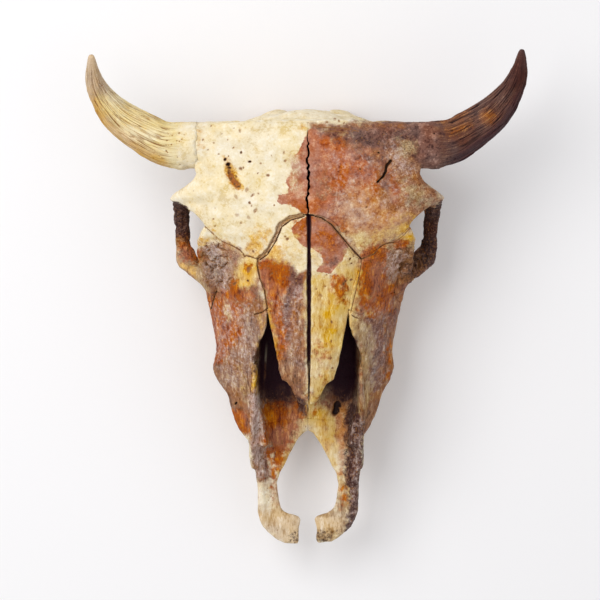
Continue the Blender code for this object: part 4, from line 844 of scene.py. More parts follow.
def horn_core_bone(name, look, tones, root_clouds, dirt_and_shade):
    """Porous bone of a bare horn core, matt and mottled in three tones, with other tones in
    patches, below as painted shade, at the tip and at the root. There it passes into the bone of
    the forehead, in the same clouds. Fine cracks some 2 mm apart run along it, and dirt and painted
    shade darken them and its grooves and pits."""
    material, tree, shader = new_material(name)
    place = add(tree, "ShaderNodeTexCoord", out="Object")
    course = add(tree, "ShaderNodeAttribute", out="Vector", attribute_name="course")
    even = mottle(tree, place, *EVEN)
    clouds = mottle(tree, place, *root_clouds)
    drawn_out = mottle(tree, course, 3.2, 1.1, 0.55)
    tight = add(tree, "ShaderNodeMix", {"Factor": 0.7, "A": even, "B": drawn_out})
    colour = toned(tree, tones["all"], tight)
    # The tones below are painted shade on the lower side
    for part in ("patch", "below", "tip", "root"):
        mask = stain_mask(tree, part, even, 2.2, 0.3)
        stain = toned(tree, tones[part], clouds if part == "root" else tight)
        inputs = {"Factor": mask, "A": colour, "B": stain}
        colour = add(tree, "ShaderNodeMix", inputs, out="Result", data_type="RGBA")
    colour = drifting(tree, place, colour)

    # A crack runs where a noise drawn out along the core crosses its middle
    inputs = {"Vector": course, "Scale": 1 / (2.6 * MM), "Detail": 1.5, "Roughness": 0.5}
    crack = add(tree, "ShaderNodeTexNoise", inputs)
    crack = add(tree, "ShaderNodeMath", {0: crack, 1: 0.5}, operation="SUBTRACT")
    crack = add(tree, "ShaderNodeMath", {0: crack}, operation="ABSOLUTE")
    inputs = {"Value": crack, "From Min": 0.008, "From Max": 0.045, "To Min": 1, "To Max": 0}
    crack = add(tree, "ShaderNodeMapRange", inputs)
    lined = add(tree, "ShaderNodeAttribute", out="Fac", attribute_name="lined")
    crack = add(tree, "ShaderNodeMath", {0: crack, 1: lined}, operation="MULTIPLY")
    groove = add(tree, "ShaderNodeAttribute", out="Fac", attribute_name="groove")
    inputs = {0: even, 1: 0.6, 2: groove}
    groove = add(tree, "ShaderNodeMath", inputs, operation="MULTIPLY_ADD")
    inputs = {"Value": groove, "From Min": 0.6, "From Max": 1.4}
    groove = add(tree, "ShaderNodeMapRange", inputs, interpolation_type="SMOOTHSTEP")
    # Dirt and painted shade darken the cracks, grooves and pits
    inputs = {0: crack, 1: 0.75, 2: groove}
    dark = add(tree, "ShaderNodeMath", inputs, operation="MULTIPLY_ADD", use_clamp=True)
    inputs = {"Factor": dark, "A": colour, "B": (*hex_colour(dirt_and_shade), 1)}
    colour = add(tree, "ShaderNodeMix", inputs, out="Result", data_type="RGBA")

    height = add(tree, "ShaderNodeTexNoise", {"Vector": place, **OPEN_PORES})
    inputs = {0: crack, 1: -0.6, 2: height}
    height = add(tree, "ShaderNodeMath", inputs, operation="MULTIPLY_ADD")
    bump = {"Strength": 0.9, "Distance": 0.7 * MM, "Height": height}
    tree.links.new(colour, shader.inputs["Base Color"])
    tree.links.new(add(tree, "ShaderNodeBump", bump), shader.inputs["Normal"])
    shader.inputs["Roughness"].default_value = 0.68
    shader.inputs["Specular IOR Level"].default_value = look.gloss
    return material


def floor_paint(colour, glow):
    """Smooth matt paint, lit a little from below, as on a light table. Its faint cloudiness is 300
    mm wide."""
    material, tree, shader = new_material("Matt floor paint")
    place = add(tree, "ShaderNodeTexCoord", out="Object")
    inputs = {"Vector": place, "Scale": 1 / (300 * MM), "Detail": 2}
    cloud = add(tree, "ShaderNodeTexNoise", inputs)
    cloud = add(tree, "ShaderNodeMapRange", {"Value": cloud, "To Max": 0.05})
    inputs = {"Factor": cloud, "A": (*colour, 1), "B": (*hex_colour("#DDDCDB"), 1)}
    clouded = add(tree, "ShaderNodeMix", inputs, out="Result", data_type="RGBA")
    tree.links.new(clouded, shader.inputs["Base Color"])
    shader.inputs["Emission Color"].default_value = (*colour, 1)
    shader.inputs["Emission Strength"].default_value = glow
    shader.inputs["Roughness"].default_value = 0.9
    return material


def corners_of(node):
    """A node's triangles as an array of corners."""
    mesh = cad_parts[node].data
    mesh.calc_loop_triangles()
    points = np.empty(len(mesh.vertices) * 3, np.float32)
    mesh.vertices.foreach_get("co", points)
    index = np.empty(len(mesh.loop_triangles) * 3, np.int32)
    mesh.loop_triangles.foreach_get("vertices", index)
    return points.reshape(-1, 3)[index]


@functools.cache
def midline_heights():
    """Heights at MIDLINE_Y where a line straight down in the plan first meets one of the frame's
    frontals, parietal and nasals."""
    corners = np.concatenate([corners_of(node) for node in FRONTALS + NASALS])
    corners = to_plan(corners.reshape(-1, 3))
    faces = np.arange(len(corners)).reshape(-1, 3)
    bones = BVHTree.FromPolygons(corners.tolist(), faces.tolist())
    above = corners[:, 2].max() + 1
    return [bones.ray_cast((MIDLINE_X, y, above), (0, 0, -1))[0].z for y in MIDLINE_Y]


def midline_top(y):
    """Height of the bones on the midline at y."""
    return np.interp(y, MIDLINE_Y, midline_heights())


def loose_object(name, corners):
    """An object of separate triangles, its equal points merged."""
    mesh = bpy.data.meshes.new(name)
    mesh.from_pydata(corners, [], np.arange(len(corners)).reshape(-1, 3))
    build = bmesh.new()
    build.from_mesh(mesh)
    bmesh.ops.remove_doubles(build, verts=build.verts, dist=MM / 1000)
    build.to_mesh(mesh)
    build.free()
    item = bpy.data.objects.new(name, mesh)
    bpy.context.scene.collection.objects.link(item)
    return item


def neighbour_nodes(neighbours):
    """A node group that stores the place on the neighbours nearest to each point as the attribute
    near."""
    group = bpy.data.node_groups.new("Nearest on neighbours", "GeometryNodeTree")
    for way in ("INPUT", "OUTPUT"):
        group.interface.new_socket("Geometry", in_out=way, socket_type="NodeSocketGeometry")
    entry = add(group, "NodeGroupInput")
    others = add(group, "GeometryNodeObjectInfo", {"Object": neighbours}, out="Geometry")
    inputs = {0: others}
    near = add(group, "GeometryNodeProximity", inputs, out="Position", target_element="FACES")
    inputs = {"Geometry": entry, "Name": "near", "Value": near}
    kind = {"data_type": "FLOAT_VECTOR", "domain": "POINT"}
    stored = add(group, "GeometryNodeStoreNamedAttribute", inputs, **kind)
    add(group, "NodeGroupOutput", {0: stored})
    return group


def points_of(mesh):
    """A mesh's points as an array."""
    points = np.empty(len(mesh.vertices) * 3, np.float32)
    mesh.vertices.foreach_get("co", points)
    return points.reshape(-1, 3).astype(float)


def put_points(mesh, points):
    """Moves a mesh's points."""
    mesh.vertices.foreach_set("co", points.astype(np.float32).ravel())
    mesh.update()


def put_value(mesh, name, values):
    """Stores a value for each point as an attribute that a material reads."""
    attribute = mesh.attributes.new(name, "FLOAT", "POINT")
    attribute.data.foreach_set("value", np.asarray(values, np.float32))


def plan_normals(mesh):
    """The directions that a mesh's points face, in the plan."""
    normals = np.empty(len(mesh.vertices) * 3, np.float32)
    mesh.vertex_normals.foreach_get("vector", normals)
    return turned_back(*normals.reshape(-1, 3).astype(float).T)


def fine_skin(node, voxel):
    """A closed mesh of small quads over a node, with the way in mm from each point to the nearest
    other bone."""
    item = loose_object(node, corners_of(node))
    others = np.concatenate([corners_of(name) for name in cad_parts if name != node])
    neighbours = loose_object("neighbours", others)
    remesh = item.modifiers.new("Remesh", "REMESH")
    remesh.mode = "VOXEL"
    remesh.voxel_size = voxel * MM
    nearest = item.modifiers.new("Nearest", "NODES")
    nearest.node_group = neighbour_nodes(neighbours)
    graph = bpy.context.evaluated_depsgraph_get()
    mesh = bpy.data.meshes.new_from_object(item.evaluated_get(graph))
    near = np.empty(len(mesh.vertices) * 3, np.float32)
    mesh.attributes["near"].data.foreach_get("vector", near)
    mesh.attributes.remove(mesh.attributes["near"])
    bpy.data.node_groups.remove(nearest.node_group)
    bpy.data.objects.remove(neighbours)
    bpy.data.objects.remove(item)
    return mesh, (near.reshape(-1, 3) - points_of(mesh)) / MM


class Web:
    """The edges of a mesh, for averages over each point's neighbours."""

    def __init__(self, mesh):
        ends = np.empty(len(mesh.edges) * 2, np.int32)
        mesh.edges.foreach_get("vertices", ends)
        self.one, self.other = ends.reshape(-1, 2).T
        self.size = len(mesh.vertices)
        self.count = np.bincount(ends, minlength=self.size)

    def average(self, values):
        """The mean of values over each point's neighbours."""
        columns = []
        for column in values.T:
            total = np.bincount(self.one, column[self.other], self.size)
            total += np.bincount(self.other, column[self.one], self.size)
            columns.append(total / self.count)
        return np.column_stack(columns)


def smoothed(web, points, weight, rounds):
    """Points moved towards the mean of their neighbours, and back a little less, so that thin parts
    last."""
    for _ in range(rounds):
        for pull in (0.62, -0.42):
            points = points + pull * weight[:, None] * (web.average(points) - points)
    return points


def closing(plan, apart):
    """Share of the way to the nearest bone by which points move: 0.46 narrows a suture to a
    hairline, and 0.92 shuts a healed one. The slit and the crack on the midline stay open."""
    out, y = np.abs(plan[:, 0]), plan[:, 1]
    healed = np.zeros(len(plan), bool)
    for near, far, front, back in HEALED:
        healed |= (out > near) & (out < far) & (y > front) & (y < back)
    middle = ramp(out, 7, 4) * ramp(y, -118, -112) * ramp(y, 176, 168)
    return ramp(apart, 1.6, 0.8) * np.where(healed, 0.92, 0.46) * (1 - middle)


def wander(plan, side):
    """How far points are shifted sideways, so that sutures and edges run unevenly, in mm. side is 1
    for a bone on the left, -1 on the right and 0 in the middle. The crack between the frontals also
    opens, by some 0.8 mm on either side, and the nasals meet below their slit."""
    x, y = plan[:, 0], plan[:, 1]
    along = plan * (0, 1, 0)
    near_middle = ramp(np.abs(x), 16, 5) * ramp(y, 88, 104)
    zigzag = 1.5 * noise(along, 3.2, 3) + 1.2 * noise(along, 9, 4)
    torn = 1 + 0.8 * noise(along + (0, 0, 40 * side), 2.4, 5)
    opening = 0.8 * ramp(y, 82, 96) * ramp(y, 172, 146) * ramp(np.abs(x), 9, 4) * side * torn
    below = midline_top(y) - plan[:, 2]
    lips = ramp(np.abs(x - 1), 4, 2.5) * ramp(below, 2.5, 4) * ramp(y, -80, -60) * ramp(y, 100, 80)
    shift = np.zeros_like(plan)
    shift[:, 0] = near_middle * zigzag + opening + 0.45 * noise(plan, 6, 5)
    shift[:, 0] += lips * (1 + 0.05 * side - x - shift[:, 0])
    shift[:, 1] = 0.45 * noise(plan, 6, 6)
    return shift


def nudged(places):
    """Places in plan after each of NUDGES, which fades as (1 - (distance over radius) squared)
    squared."""
    moved = places.copy()
    for x, y, radius, right, back in NUDGES:
        reach = np.hypot(places[:, 0] - x, places[:, 1] - y) / radius
        moved += np.clip(1 - reach**2, 0, None)[:, None] ** 2 * (right, back)
    return moved


def bone_stains(plan, node):
    """The layers of stain, with the brown of an orbit's outer bar and umber painted shade on it."""
    layers = stain_layers(plan)
    if node in SHADED_BARS:
        bar = ramp(np.abs(plan[:, 0]), 110, 120)
        layers["brown"] = np.maximum(layers["brown"], bar)
        # Umber painted shade on the bar
        umber = 1.2 * bar * ramp(plan[:, 1], *SHADED_BARS[node])
        layers["umber"] = np.maximum(layers["umber"], umber)
    return layers


def shaded_hollow(plan, node):
    """How far points lie out of the light: in the nose between its walls, over its floor and under
    the bridge, and deep in the slit between the nasals or under them. A ridge in the nose is
    lighter."""
    x, y, z = plan.T
    roof = np.interp(y, *np.transpose(NOSE_ROOF))
    nose = ramp(np.abs(x), 54, 48) * ramp(z, -114, -109) * ramp(z - roof, 2, -5)
    front = y + 9 * rough_noise(plan * (1, 0.4, 1), 9, 3, 12)
    nose = nose * ramp(front, -116, -84) * ramp(y, 90, 60)
    below = 1.5 if node.startswith("nasal") else 0.6
    depth = z - midline_top(y)
    slit = ramp(np.abs(x - 1), 6.5, 4.5) * ramp(depth, -below, -below - 1.5) * ramp(y, -74, -60)
    ridge = 1 - 0.3 * ramp(np.abs(x + 40.5 - 0.05 * y), 1.6, 0.4) * ramp(y, -40, -60)
    return np.maximum(nose * ridge, slit * ramp(y, 176, 166))


def craggy(plan):
    """How craggy the ground is, from nought to one."""
    x, y = plan[:, 0], plan[:, 1]
    return sum(ramp(np.hypot(x - x0, y - y0), radius, 0.6 * radius) for x0, y0, radius in CRAGS)


def bone_relief(plan, rough, crags):
    """Heights in mm over the smooth bone: long swells, then ridges and pores on rough ground, and
    broken ridges with gaps between them where it is craggy."""
    swell = 0.55 * rough_noise(plan, 22, 2, 1) + 0.30 * rough_noise(plan, 7, 3, 9)
    ridges = np.abs(rough_noise(plan * (1, 0.55, 1), 6, 3, 2))
    broken = np.abs(rough_noise(plan * (1, 0.7, 1), 11, 3, 13))
    holes = pores(plan, 3.4, 0.6, 1)
    tiny = pores(plan, 5.2, 0.05, 2)
    height = swell + rough * (0.8 - 3.0 * ridges - 1.2 * holes) - 0.8 * tiny * (1 - rough)
    return height + crags * (1.2 - 3.25 * ramp(broken, 0.16, 0.0))


def carved(plan, normal):
    """Depths in mm and darkness of named pits and trenches in what faces up: brown dirt, and
    near-black painted shade where the darkness is high. A pit is oval, leans its own way and falls
    off by (1 - (distance over radius) squared) squared, and a trench has steep sides and a flat
    floor."""
    depth, dark = np.zeros(len(plan)), np.zeros(len(plan))
    for number, (x, y, radius, deep, shade) in enumerate(PITS):
        near = np.hypot(plan[:, 0] - x, plan[:, 1] - y) < 4 * radius
        across, along = plan[near, 0] - x, plan[near, 1] - y
        lean = 2.4 * number
        wide = 1.25 * (across * math.cos(lean) + along * math.sin(lean))
        long = 0.85 * (along * math.cos(lean) - across * math.sin(lean))
        reach = np.hypot(wide, long) / radius + 0.5 * rough_noise(plan[near], 2.4, 2, 7)
        depth[near] = np.maximum(depth[near], deep * np.clip(1 - reach**2, 0, None) ** 2)
        dark[near] = np.maximum(dark[near], shade * ramp(reach, 1.2, 0.5))
    wobble = 0.42 * noise(plan, 4, 8) + 0.25 * noise(plan, 1.9, 9)
    for width, deep, shade, path in TRENCHES:
        reach = off_path(plan, path) / (width / 2) + wobble
        depth = np.maximum(depth, deep * ramp(reach, 1.0, 0.3))
        dark = np.maximum(dark, shade * (1 + 0.3 * wobble) * ramp(reach, 1.1, 0.5))
    up = ramp(normal[:, 2], 0.0, 0.35)
    return depth * up, np.clip(dark, 0, 1) * up


def finish_bone(name, mesh, material):
    """Links a finished bone in place of its node."""
    mesh.materials.clear()
    mesh.materials.append(material)
    mesh.shade_smooth()
    item = bpy.data.objects.new(name + "_skin", mesh)
    bpy.context.scene.collection.objects.link(item)
    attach(item, "root")
    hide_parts(name)
    return item


def dress_bone(node, look, rounds=9, coarser=1.0, calm=1.0):
    """A fine skin over a node: its sutures narrowed, or closed where they have grown together, the
    rest smoothed in rounds, made uneven, roughened, carved and stained. Its faces are coarser and
    its rough ground calmer by the given factors."""
    mesh, way = fine_skin(node, coarser * look.voxel / MM)
    apart = np.linalg.norm(way, axis=1)
    web = Web(mesh)
    points = smoothed(web, points_of(mesh), ramp(apart, 0.8, 5.0), rounds)
    share = closing(to_plan(points), apart)
    plan = to_plan(points + share[:, None] * way * MM)
    plan += wander(plan, node.endswith("_left") - node.endswith("_right"))
    plan[:, :2] = nudged(plan[:, :2])
    put_points(mesh, from_plan(plan))

    normal = plan_normals(mesh)
    layers = bone_stains(plan, node)
    top = ramp(normal[:, 2], -0.35, 0.15)
    deep = shaded_hollow(plan, node)
    crags = craggy(plan)
    rough = sum(much * layers[name] for name, much in ROUGH_STAINS.items()) + crags
    rough = np.clip(rough, 0, 1) * (1 - 0.8 * layers["rust"])
    relief = look.relief / MM * bone_relief(plan, calm * rough, crags) * ramp(apart, 0.4, 3.5)
    depth, dark = carved(plan, normal)
    plan += normal * relief[:, None]
    plan[:, 2] -= depth * (1 - deep)
    points = from_plan(plan)
    points[:, 2] = np.maximum(points[:, 2], 0)
    put_points(mesh, points)

    for name, values in layers.items():
        put_value(mesh, name, values * (0.35 + 0.65 * top))
    put_value(mesh, "under", 1 - top)
    # Painted shade in the nose and in the slit between the nasals
    put_value(mesh, "deep", deep)
    put_value(mesh, "rough", rough)
    put_value(mesh, "streaks", ramp(plan[:, 1], 48, 18))
    # Concave places are darker, together with the dirt and the painted shade of the pits and
    # trenches
    hollow = np.einsum("ij,ij->i", web.average(plan) - plan, normal)
    horn_root = ramp(np.abs(plan[:, 0]), 103, 108) * ramp(plan[:, 1], 116, 124)
    in_hollows = 0.62 * ramp(hollow, 0.04, 0.22) * (1 - horn_root)
    put_value(mesh, "dirt_and_shade", np.maximum(dark, in_hollows))
    # All of these bones share one material
    bone = bpy.data.materials.get("Weathered bone") or weathered_bone(look)
    return finish_bone(node, mesh, bone)


def grid_mesh(name, rings):
    """A closed mesh over rings of points, with a point at either end."""
    rows, around = rings.shape[:2]
    points = np.vstack([rings.reshape(-1, 3), rings[0].mean(0), rings[-1].mean(0)])
    i, j = np.meshgrid(np.arange(rows - 1), np.arange(around), indexing="ij")
    k = (j + 1) % around
    quads = [i * around + j, i * around + k, (i + 1) * around + k, (i + 1) * around + j]
    quads = np.stack(quads, -1).reshape(-1, 4)
    j = np.arange(around)
    k = (j + 1) % around
    first, last, outermost = len(points) - 2, len(points) - 1, (rows - 1) * around
    start = np.column_stack([np.full(around, first), k, j])
    end = np.column_stack([np.full(around, last), outermost + j, outermost + k])
    mesh = bpy.data.meshes.new(name)
    mesh.from_pydata(from_plan(points), [], [*quads.tolist(), *start.tolist(), *end.tolist()])
    build = bmesh.new()
    build.from_mesh(mesh)
    bmesh.ops.recalc_face_normals(build, faces=build.faces)
    build.to_mesh(mesh)
    build.free()
    return mesh


def horn_line(side, rows):
    """Points and radii along a horn core: a smooth curve through HORN, slimmed by 7% outside the
    root and shifted by 1.2 mm, back on the left and to the front on the right. The left one's tip
    is also 3 mm further in and 5.5 mm further back."""
    table = through(HORN, rows)
    centre, radius = table[:, :3], table[:, 3]
    inner = ramp(centre[:, 0], 118, 134) * ramp(centre[:, 0], 190, 165)
    outer = ramp(centre[:, 0], 118, 160) * ramp(centre[:, 1], 246, 232)
    if side > 0:
        to_tip = (-3, 5.5, 0) * ramp(centre[:, 0], 140, 224)[:, None]
        centre = centre + to_tip + (0, 1.2, 0) * inner[:, None]
    else:
        centre = centre - (0, 1.2, 0) * outer[:, None]
    return centre, radius * (1 - 0.07 * outer)


def across_line(centre):
    """Two directions square to a line at each of its points: up at its start, and sideways. They
    are carried along it without turning round it."""
    along = np.gradient(centre, axis=0)
    along[0] = (1, 0, 0)
    along /= np.linalg.norm(along, axis=1)[:, None]
    up = np.zeros_like(along)
    up[0] = (0, 0, 1)
    for row in range(1, len(centre)):
        level = up[row - 1] - (up[row - 1] @ along[row]) * along[row]
        up[row] = level / np.linalg.norm(level)
    return up, np.cross(up, along)


def horn_rings(side, look):
    """Points of a horn core on a grid of places along it and turns round it, the values that its
    material reads, and its course, in which patterns are drawn out along it. Grooves lie where
    noise on that course crosses nought: depth times exp(-(noise / width) squared). Pores crowd at
    the root, and the lower edge there is a ragged burr. side is 1 for the animal's left."""
    shape = rows, around = look.horn_rings, look.horn_around
    centre, radius = horn_line(side, rows)
    up, sideways = across_line(centre)
    steps = np.linalg.norm(np.diff(centre, axis=0), axis=1)
    length = np.concatenate([[0], np.cumsum(steps)])[:, None]
    s = length / length[-1]
    turn = np.linspace(0, 2 * np.pi, around, endpoint=False)[None]
    outward = np.cos(turn)[..., None] * up[:, None] + np.sin(turn)[..., None] * sideways[:, None]
    surface = (centre[:, None] + radius[:, None, None] * outward).reshape(-1, 3)
    twist = turn + 0.5 * s
    course = [24 * np.cos(twist), 24 * np.sin(twist), np.broadcast_to(0.06 * length, shape)]
    course = np.stack(course, -1).reshape(-1, 3)
    seed = 20 if side > 0 else 30

    gaps = noise(course * (1, 1, 4), 5, seed + 3).reshape(shape)
    wide = noise(course * (1, 1, 0.6), 4.4, seed).reshape(shape)
    wide = np.exp(-((wide / 0.10) ** 2)) * ramp(gaps, -0.2, 0.2)
    narrow = noise(course * (1, 1, 1.2), 2.8, seed + 1).reshape(shape)
    narrow = np.exp(-((narrow / 0.16) ** 2)) * ramp(gaps, 0.2, -0.2)
    grooved = ramp(s, 0.08, 0.24) * ramp(s, 0.96, 0.7)
    groove = grooved * np.maximum(wide, 0.75 * narrow)
    knots = rough_noise(surface, 7, 3, seed + 1).reshape(shape)
    holes = pores(surface, 3.8, 0.55, seed % 7).reshape(shape)
    at_root = ramp(s, 0.02, 0.05) * ramp(s, 0.32, 0.12)
    scars = pores(surface, 5.0, 0.4, 3).reshape(shape)
    scars = ramp(s, 0.62, 0.8) * ramp(s, 0.99, 0.95) * scars
    burr = ramp(s, 0.02, 0.06) * ramp(s, 0.17, 0.08) * ramp(-np.sin(turn), 0.1, 0.9)

    height = 0.5 * grooved * rough_noise(course, 9, 2, seed + 4).reshape(shape) - 1.5 * groove
    height -= at_root * 1.5 * holes + 0.9 * scars
    height += (0.5 + 0.5 * ramp(s, 0.5, 0.8)) * knots * ramp(s, 0.0, 0.035)
    height = height * np.clip(radius / 14, 0.3, 1)[:, None]
    height += burr * (1.6 + 1.8 * knots)
    rounded = np.sqrt(np.clip(1 - ramp(s, 0.985, 1.0) ** 2, 0.02, 1))
    rings = centre[:, None] + ((radius[:, None] + height) * rounded)[..., None] * outward
    fringe = 1.2 + 2.4 * np.clip(0.5 + noise(surface[:around] * (0, 1, 1), 4, seed + 2), 0, 1)
    rings[..., 0] -= ramp(s, 0.02, 0.0) * fringe
    rings += (0.35 * ramp(s, 0.05, 0.01))[..., None] * outward

    back = np.sin(turn)
    if side > 0:
        patch = 0.62 * ramp(s, 0.08, 0.16) * ramp(s, 0.46, 0.34) * ramp(back, -0.3, 0.5)
        patch = np.maximum(patch, 0.75 * ramp(np.hypot((s - 0.47) * 9, back - 0.05), 1.0, 0.2))
    else:
        patch = 0.62 * ramp(s, 0.04, 0.1) * ramp(s, 0.5, 0.2)
    pitted = np.maximum(0.9 * at_root * ramp(holes, 0.1, 0.6), 0.8 * ramp(scars, 0.2, 0.7))
    between = 0.6 + 0.4 * np.clip(2.5 * gaps, -1, 1)
    values = {
        "groove": np.maximum(groove, pitted),
        "lined": ramp(s, 0.04, 0.22) * ramp(s, 1.0, 0.85) * between,
        "patch": patch,
        # Painted shade on the lower side, which is browner too
        "below": 0.85 * ramp(-back, 0.1, 0.9) * ramp(s, 0.06, 0.2) * ramp(s, 0.9, 0.7),
        "root": 1.2 * ramp(s, 0.14, 0.0),
        "tip": 0.9 * ramp(s, 0.55, 0.86),
    }
    # The points at the two ends come last
    values = {
        name: np.append(np.broadcast_to(value, shape).ravel(), [0.2, 0.2])
        for name, value in values.items()
    }
    course = np.vstack([course, course[:1], course[-1:]]) * MM
    return rings * (side, 1, 1), values, course


class SkullLook(bpy.types.PropertyGroup):
    """Fineness, finish and colours of the bones."""

    voxel: FloatProperty(
        name="Mesh Size",
        description="Edge length of the faces of a bone's skin",
        default=0.85 * MM,
        min=0.5 * MM,
        max=5 * MM,
        precision=5,
        unit="LENGTH",
    )
    relief: FloatProperty(
        name="Relief",
        description="Height of the unevenness of the bone",
        default=1.0 * MM,
        min=0.0,
        max=3 * MM,
        precision=5,
        unit="LENGTH",
    )
    gloss: FloatProperty(
        name="Gloss",
        description="Strength of the highlights on dry bone",
        subtype="FACTOR",
        default=0.16,
        min=0.0,
        max=1.0,
    )
    horn_rings: IntProperty(
        name="Horn Rings",
        description="Rows of faces along a horn core",
        default=270,
        min=20,
    )
    horn_around: IntProperty(
        name="Horn Sides",
        description="Faces round a horn core",
        default=360,
        min=12,
    )
    bone_dark: FloatVectorProperty(
        name="Bone, Dark",
        description="Darkest tone of the bleached bone",
        subtype="COLOR",
        default=hex_colour("#DCC592"),
        min=0.0,
        max=1.0,
    )
    bone_middle: FloatVectorProperty(
        name="Bone, Middle",
        description="Most of the bleached bone",
        subtype="COLOR",
        default=hex_colour("#EDDDB8"),
        min=0.0,
        max=1.0,
    )
    bone_light: FloatVectorProperty(
        name="Bone, Light",
        description="Lightest tone of the bleached bone",
        subtype="COLOR",
        default=hex_colour("#F4E9CF"),
        min=0.0,
        max=1.0,
    )
    straw_core: FloatVectorProperty(
        name="Pale Horn Core",
        description="Most of the animal's right horn core",
        subtype="COLOR",
        default=hex_colour(STRAW_CORE["all"][1]),
        min=0.0,
        max=1.0,
    )
    umber_core: FloatVectorProperty(
        name="Dark Horn Core",
        description="Most of the animal's left horn core",
        subtype="COLOR",
        default=hex_colour(UMBER_CORE["all"][1]),
        min=0.0,
        max=1.0,
    )


class StageLook(bpy.types.PropertyGroup):
    """Floor, lights and camera."""

    floor_colour: FloatVectorProperty(
        name="Floor Colour",
        description="Colour of the floor",
        subtype="COLOR",
        default=hex_colour("#E4E3E3"),
        min=0.0,
        max=1.0,
    )
    floor_glow: FloatProperty(
        name="Floor Glow",
        description="Light that the floor gives off",
        subtype="FACTOR",
        default=0.17,
        min=0.0,
        max=1.0,
    )
    view_width: FloatProperty(
        name="View Width",
        description="Width of what the camera sees at the forehead",
        default=0.612,
        min=0.1,
        unit="LENGTH",
    )
    camera_distance: FloatProperty(
        name="Camera Distance",
        description="From the forehead to the camera, which has a long lens",
        default=10.0,
        min=0.5,
        unit="LENGTH",
    )
    key_power: FloatProperty(
        name="Key Light",
        description="Power of the large soft light",
        default=53.0,
        min=0.0,
        unit="POWER",
    )
    fill_power: FloatProperty(
        name="Fill Light",
        description="Power of the light from the other side",
        default=9.0,
        min=0.0,
        unit="POWER",
    )


class SKULL_OT_frontals(bpy.types.Operator):
    """Dress the frontal bones and the parietal"""

    bl_idname = "skull.frontals"
    bl_label = "Frontals"

    def execute(self, context):
        for node in FRONTALS:
            dress_bone(node, context.scene.skull_look)
        return {"FINISHED"}


class SKULL_OT_nasals(bpy.types.Operator):
    """Dress the nasal bones"""

    bl_idname = "skull.nasals"
    bl_label = "Nasals"

    def execute(self, context):
        # Little smoothing, because their edges at the slit are thin
        for node in NASALS:
            dress_bone(node, context.scene.skull_look, rounds=5)
        return {"FINISHED"}


class SKULL_OT_cheeks(bpy.types.Operator):
    """Dress the lacrimals and zygomatics"""

    bl_idname = "skull.cheeks"
    bl_label = "Cheeks"

    def execute(self, context):
        for node in CHEEKS:
            dress_bone(node, context.scene.skull_look)
        return {"FINISHED"}


class SKULL_OT_jaws(bpy.types.Operator):
    """Dress the maxillae with their teeth, and the premaxillae"""

    bl_idname = "skull.jaws"
    bl_label = "Upper Jaws"

    def execute(self, context):
        # Slightly larger faces, so that each maxilla has fewer triangles. Faces large enough
        # for each maxilla to stay below 200,000 triangles. The stains of the maxillae lie on
        # calmer bone than elsewhere.
        for node in JAWS:
            calm = 0.5 if node.startswith("maxilla") else 1.0
            dress_bone(node, context.scene.skull_look, rounds=8, coarser=1.045, calm=calm)
        return {"FINISHED"}


class SKULL_OT_skull_base(bpy.types.Operator):
    """Dress the bones at the back of and under the skull"""

    bl_idname = "skull.skull_base"
    bl_label = "Skull Base"

    def execute(self, context):
        # Larger faces, because little of these bones shows, and fewer rounds smooth them as widely
        for node in SKULL_BASE:
            dress_bone(node, context.scene.skull_look, rounds=5, coarser=1.4)
        return {"FINISHED"}


class SKULL_OT_horn_cores(bpy.types.Operator):
    """Make the two horn cores"""

    bl_idname = "skull.horn_cores"
    bl_label = "Horn Cores"

    def execute(self, context):
        look = context.scene.skull_look
        straw = {part: [hex_colour(tone) for tone in tones] for part, tones in STRAW_CORE.items()}
        straw["all"][1] = look.straw_core
        straw["root"] = (look.bone_dark, look.bone_middle, look.bone_light)
        umber = {part: [hex_colour(tone) for tone in tones] for part, tones in UMBER_CORE.items()}
        umber["all"][1] = look.umber_core
        # The last colour is the dirt and painted shade of cracks, grooves and pits
        straw = horn_core_bone("Straw horn core", look, straw, BROAD, "#94602C")
        umber = horn_core_bone("Umber horn core", look, umber, CLOUDY, "#231014")
        for name, side, bone in (("horn_core_left", 1, umber), ("horn_core_right", -1, straw)):
            rings, values, course = horn_rings(side, look)
            mesh = grid_mesh(name, rings)
            for key, value in values.items():
                put_value(mesh, key, value)
            attribute = mesh.attributes.new("course", "FLOAT_VECTOR", "POINT")
            attribute.data.foreach_set("vector", course.astype(np.float32).ravel())
            finish_bone(name, mesh, bone)
        return {"FINISHED"}


def facing(place, target):
    """The placing of a lamp at place that shines on target, with its +Z turned away from it."""
    z = np.array(place, float) - target
    z /= np.linalg.norm(z)
    x = np.cross((0, 1, 0), z)
    x /= np.linalg.norm(x)
    turn = Matrix(np.column_stack([x, np.cross(z, x), z]).tolist())
    return Matrix.Translation(place) @ turn.to_4x4()


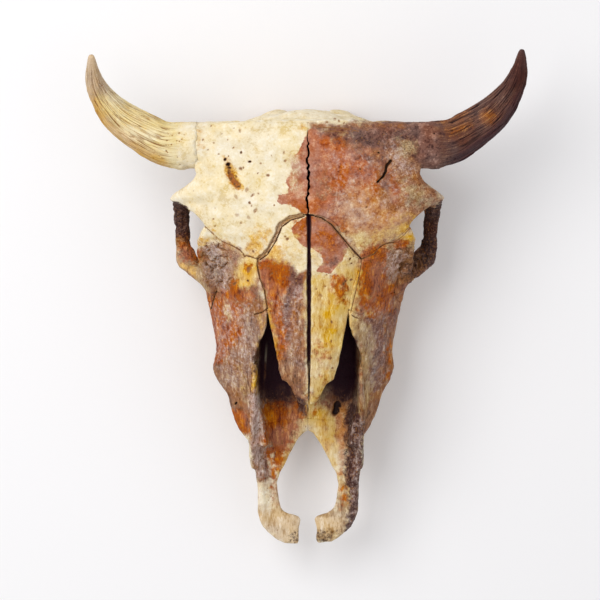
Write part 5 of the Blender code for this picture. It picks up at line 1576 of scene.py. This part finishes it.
class SKULL_OT_stage(bpy.types.Operator):
    """Lay the floor and set the lights and the camera"""

    bl_idname = "skull.stage"
    bl_label = "Stage"

    def execute(self, context):
        look = context.scene.stage_look
        mesh = bpy.data.meshes.new("floor")
        far = 6.0
        corners = [(-far, -far, 0), (far, -far, 0), (far, far, 0), (-far, far, 0)]
        mesh.from_pydata(corners, [], [(0, 1, 2, 3)])
        mesh.materials.append(floor_paint(look.floor_colour[:], look.floor_glow))
        floor = bpy.data.objects.new("floor", mesh)
        context.scene.collection.objects.link(floor)

        world = bpy.data.worlds.new("Pale room")
        world.use_nodes = True
        room = world.node_tree.nodes["Background"]
        room.inputs["Color"].default_value = (*hex_colour("#FBFBFF"), 1)
        room.inputs["Strength"].default_value = 0.5
        context.scene.world = world

        for name, place, size, power in (
            ("key", (-1.3, 0.9, 2.2), 2.0, look.key_power),
            ("fill", (1.6, -0.6, 2.0), 2.4, look.fill_power),
        ):
            light = bpy.data.lights.new(name, "AREA")
            light.size = size
            light.energy = power
            lamp = bpy.data.objects.new(name, light)
            context.scene.collection.objects.link(lamp)
            lamp.matrix_world = facing(place, (0, 0, 0.1))

        camera = bpy.data.cameras.new("camera")
        camera.sensor_width = 36
        camera.lens = camera.sensor_width * look.camera_distance / look.view_width
        camera.clip_end = look.camera_distance + 20
        eye = bpy.data.objects.new("camera", camera)
        context.scene.collection.objects.link(eye)
        x, y, z = VIEW_MIDDLE
        place = from_plan([(x, y, z + look.camera_distance / MM)])[0]
        eye.matrix_world = Matrix.Translation(place) @ Matrix.Rotation(-TILT, 4, "X")
        context.scene.camera = eye
        context.scene.view_settings.view_transform = "Standard"
        return {"FINISHED"}


class SKULL_PT_sidebar(bpy.types.Panel):
    """The skull's pieces, in the sidebar of the 3D view"""

    bl_label = "Bison Skull"
    bl_space_type = "VIEW_3D"
    bl_region_type = "UI"
    bl_category = "Skull"

    def draw(self, context):
        for look in (context.scene.skull_look, context.scene.stage_look):
            for name in look.__annotations__:
                self.layout.prop(look, name)
        for operator in OPERATORS:
            self.layout.operator(operator.bl_idname)


OPERATORS = (
    SKULL_OT_frontals,
    SKULL_OT_nasals,
    SKULL_OT_cheeks,
    SKULL_OT_jaws,
    SKULL_OT_skull_base,
    SKULL_OT_horn_cores,
    SKULL_OT_stage,
)
CLASSES = (SkullLook, StageLook, *OPERATORS, SKULL_PT_sidebar)


def register():
    for cls in CLASSES:
        bpy.utils.register_class(cls)
    bpy.types.Scene.skull_look = PointerProperty(type=SkullLook)
    bpy.types.Scene.stage_look = PointerProperty(type=StageLook)


def unregister():
    del bpy.types.Scene.stage_look
    del bpy.types.Scene.skull_look
    for cls in reversed(CLASSES):
        bpy.utils.unregister_class(cls)


def main():
    register()
    bpy.ops.skull.frontals()
    bpy.ops.skull.nasals()
    bpy.ops.skull.cheeks()
    bpy.ops.skull.jaws()
    bpy.ops.skull.skull_base()
    bpy.ops.skull.horn_cores()
    bpy.ops.skull.stage()


if __name__ == "__main__":
    main()
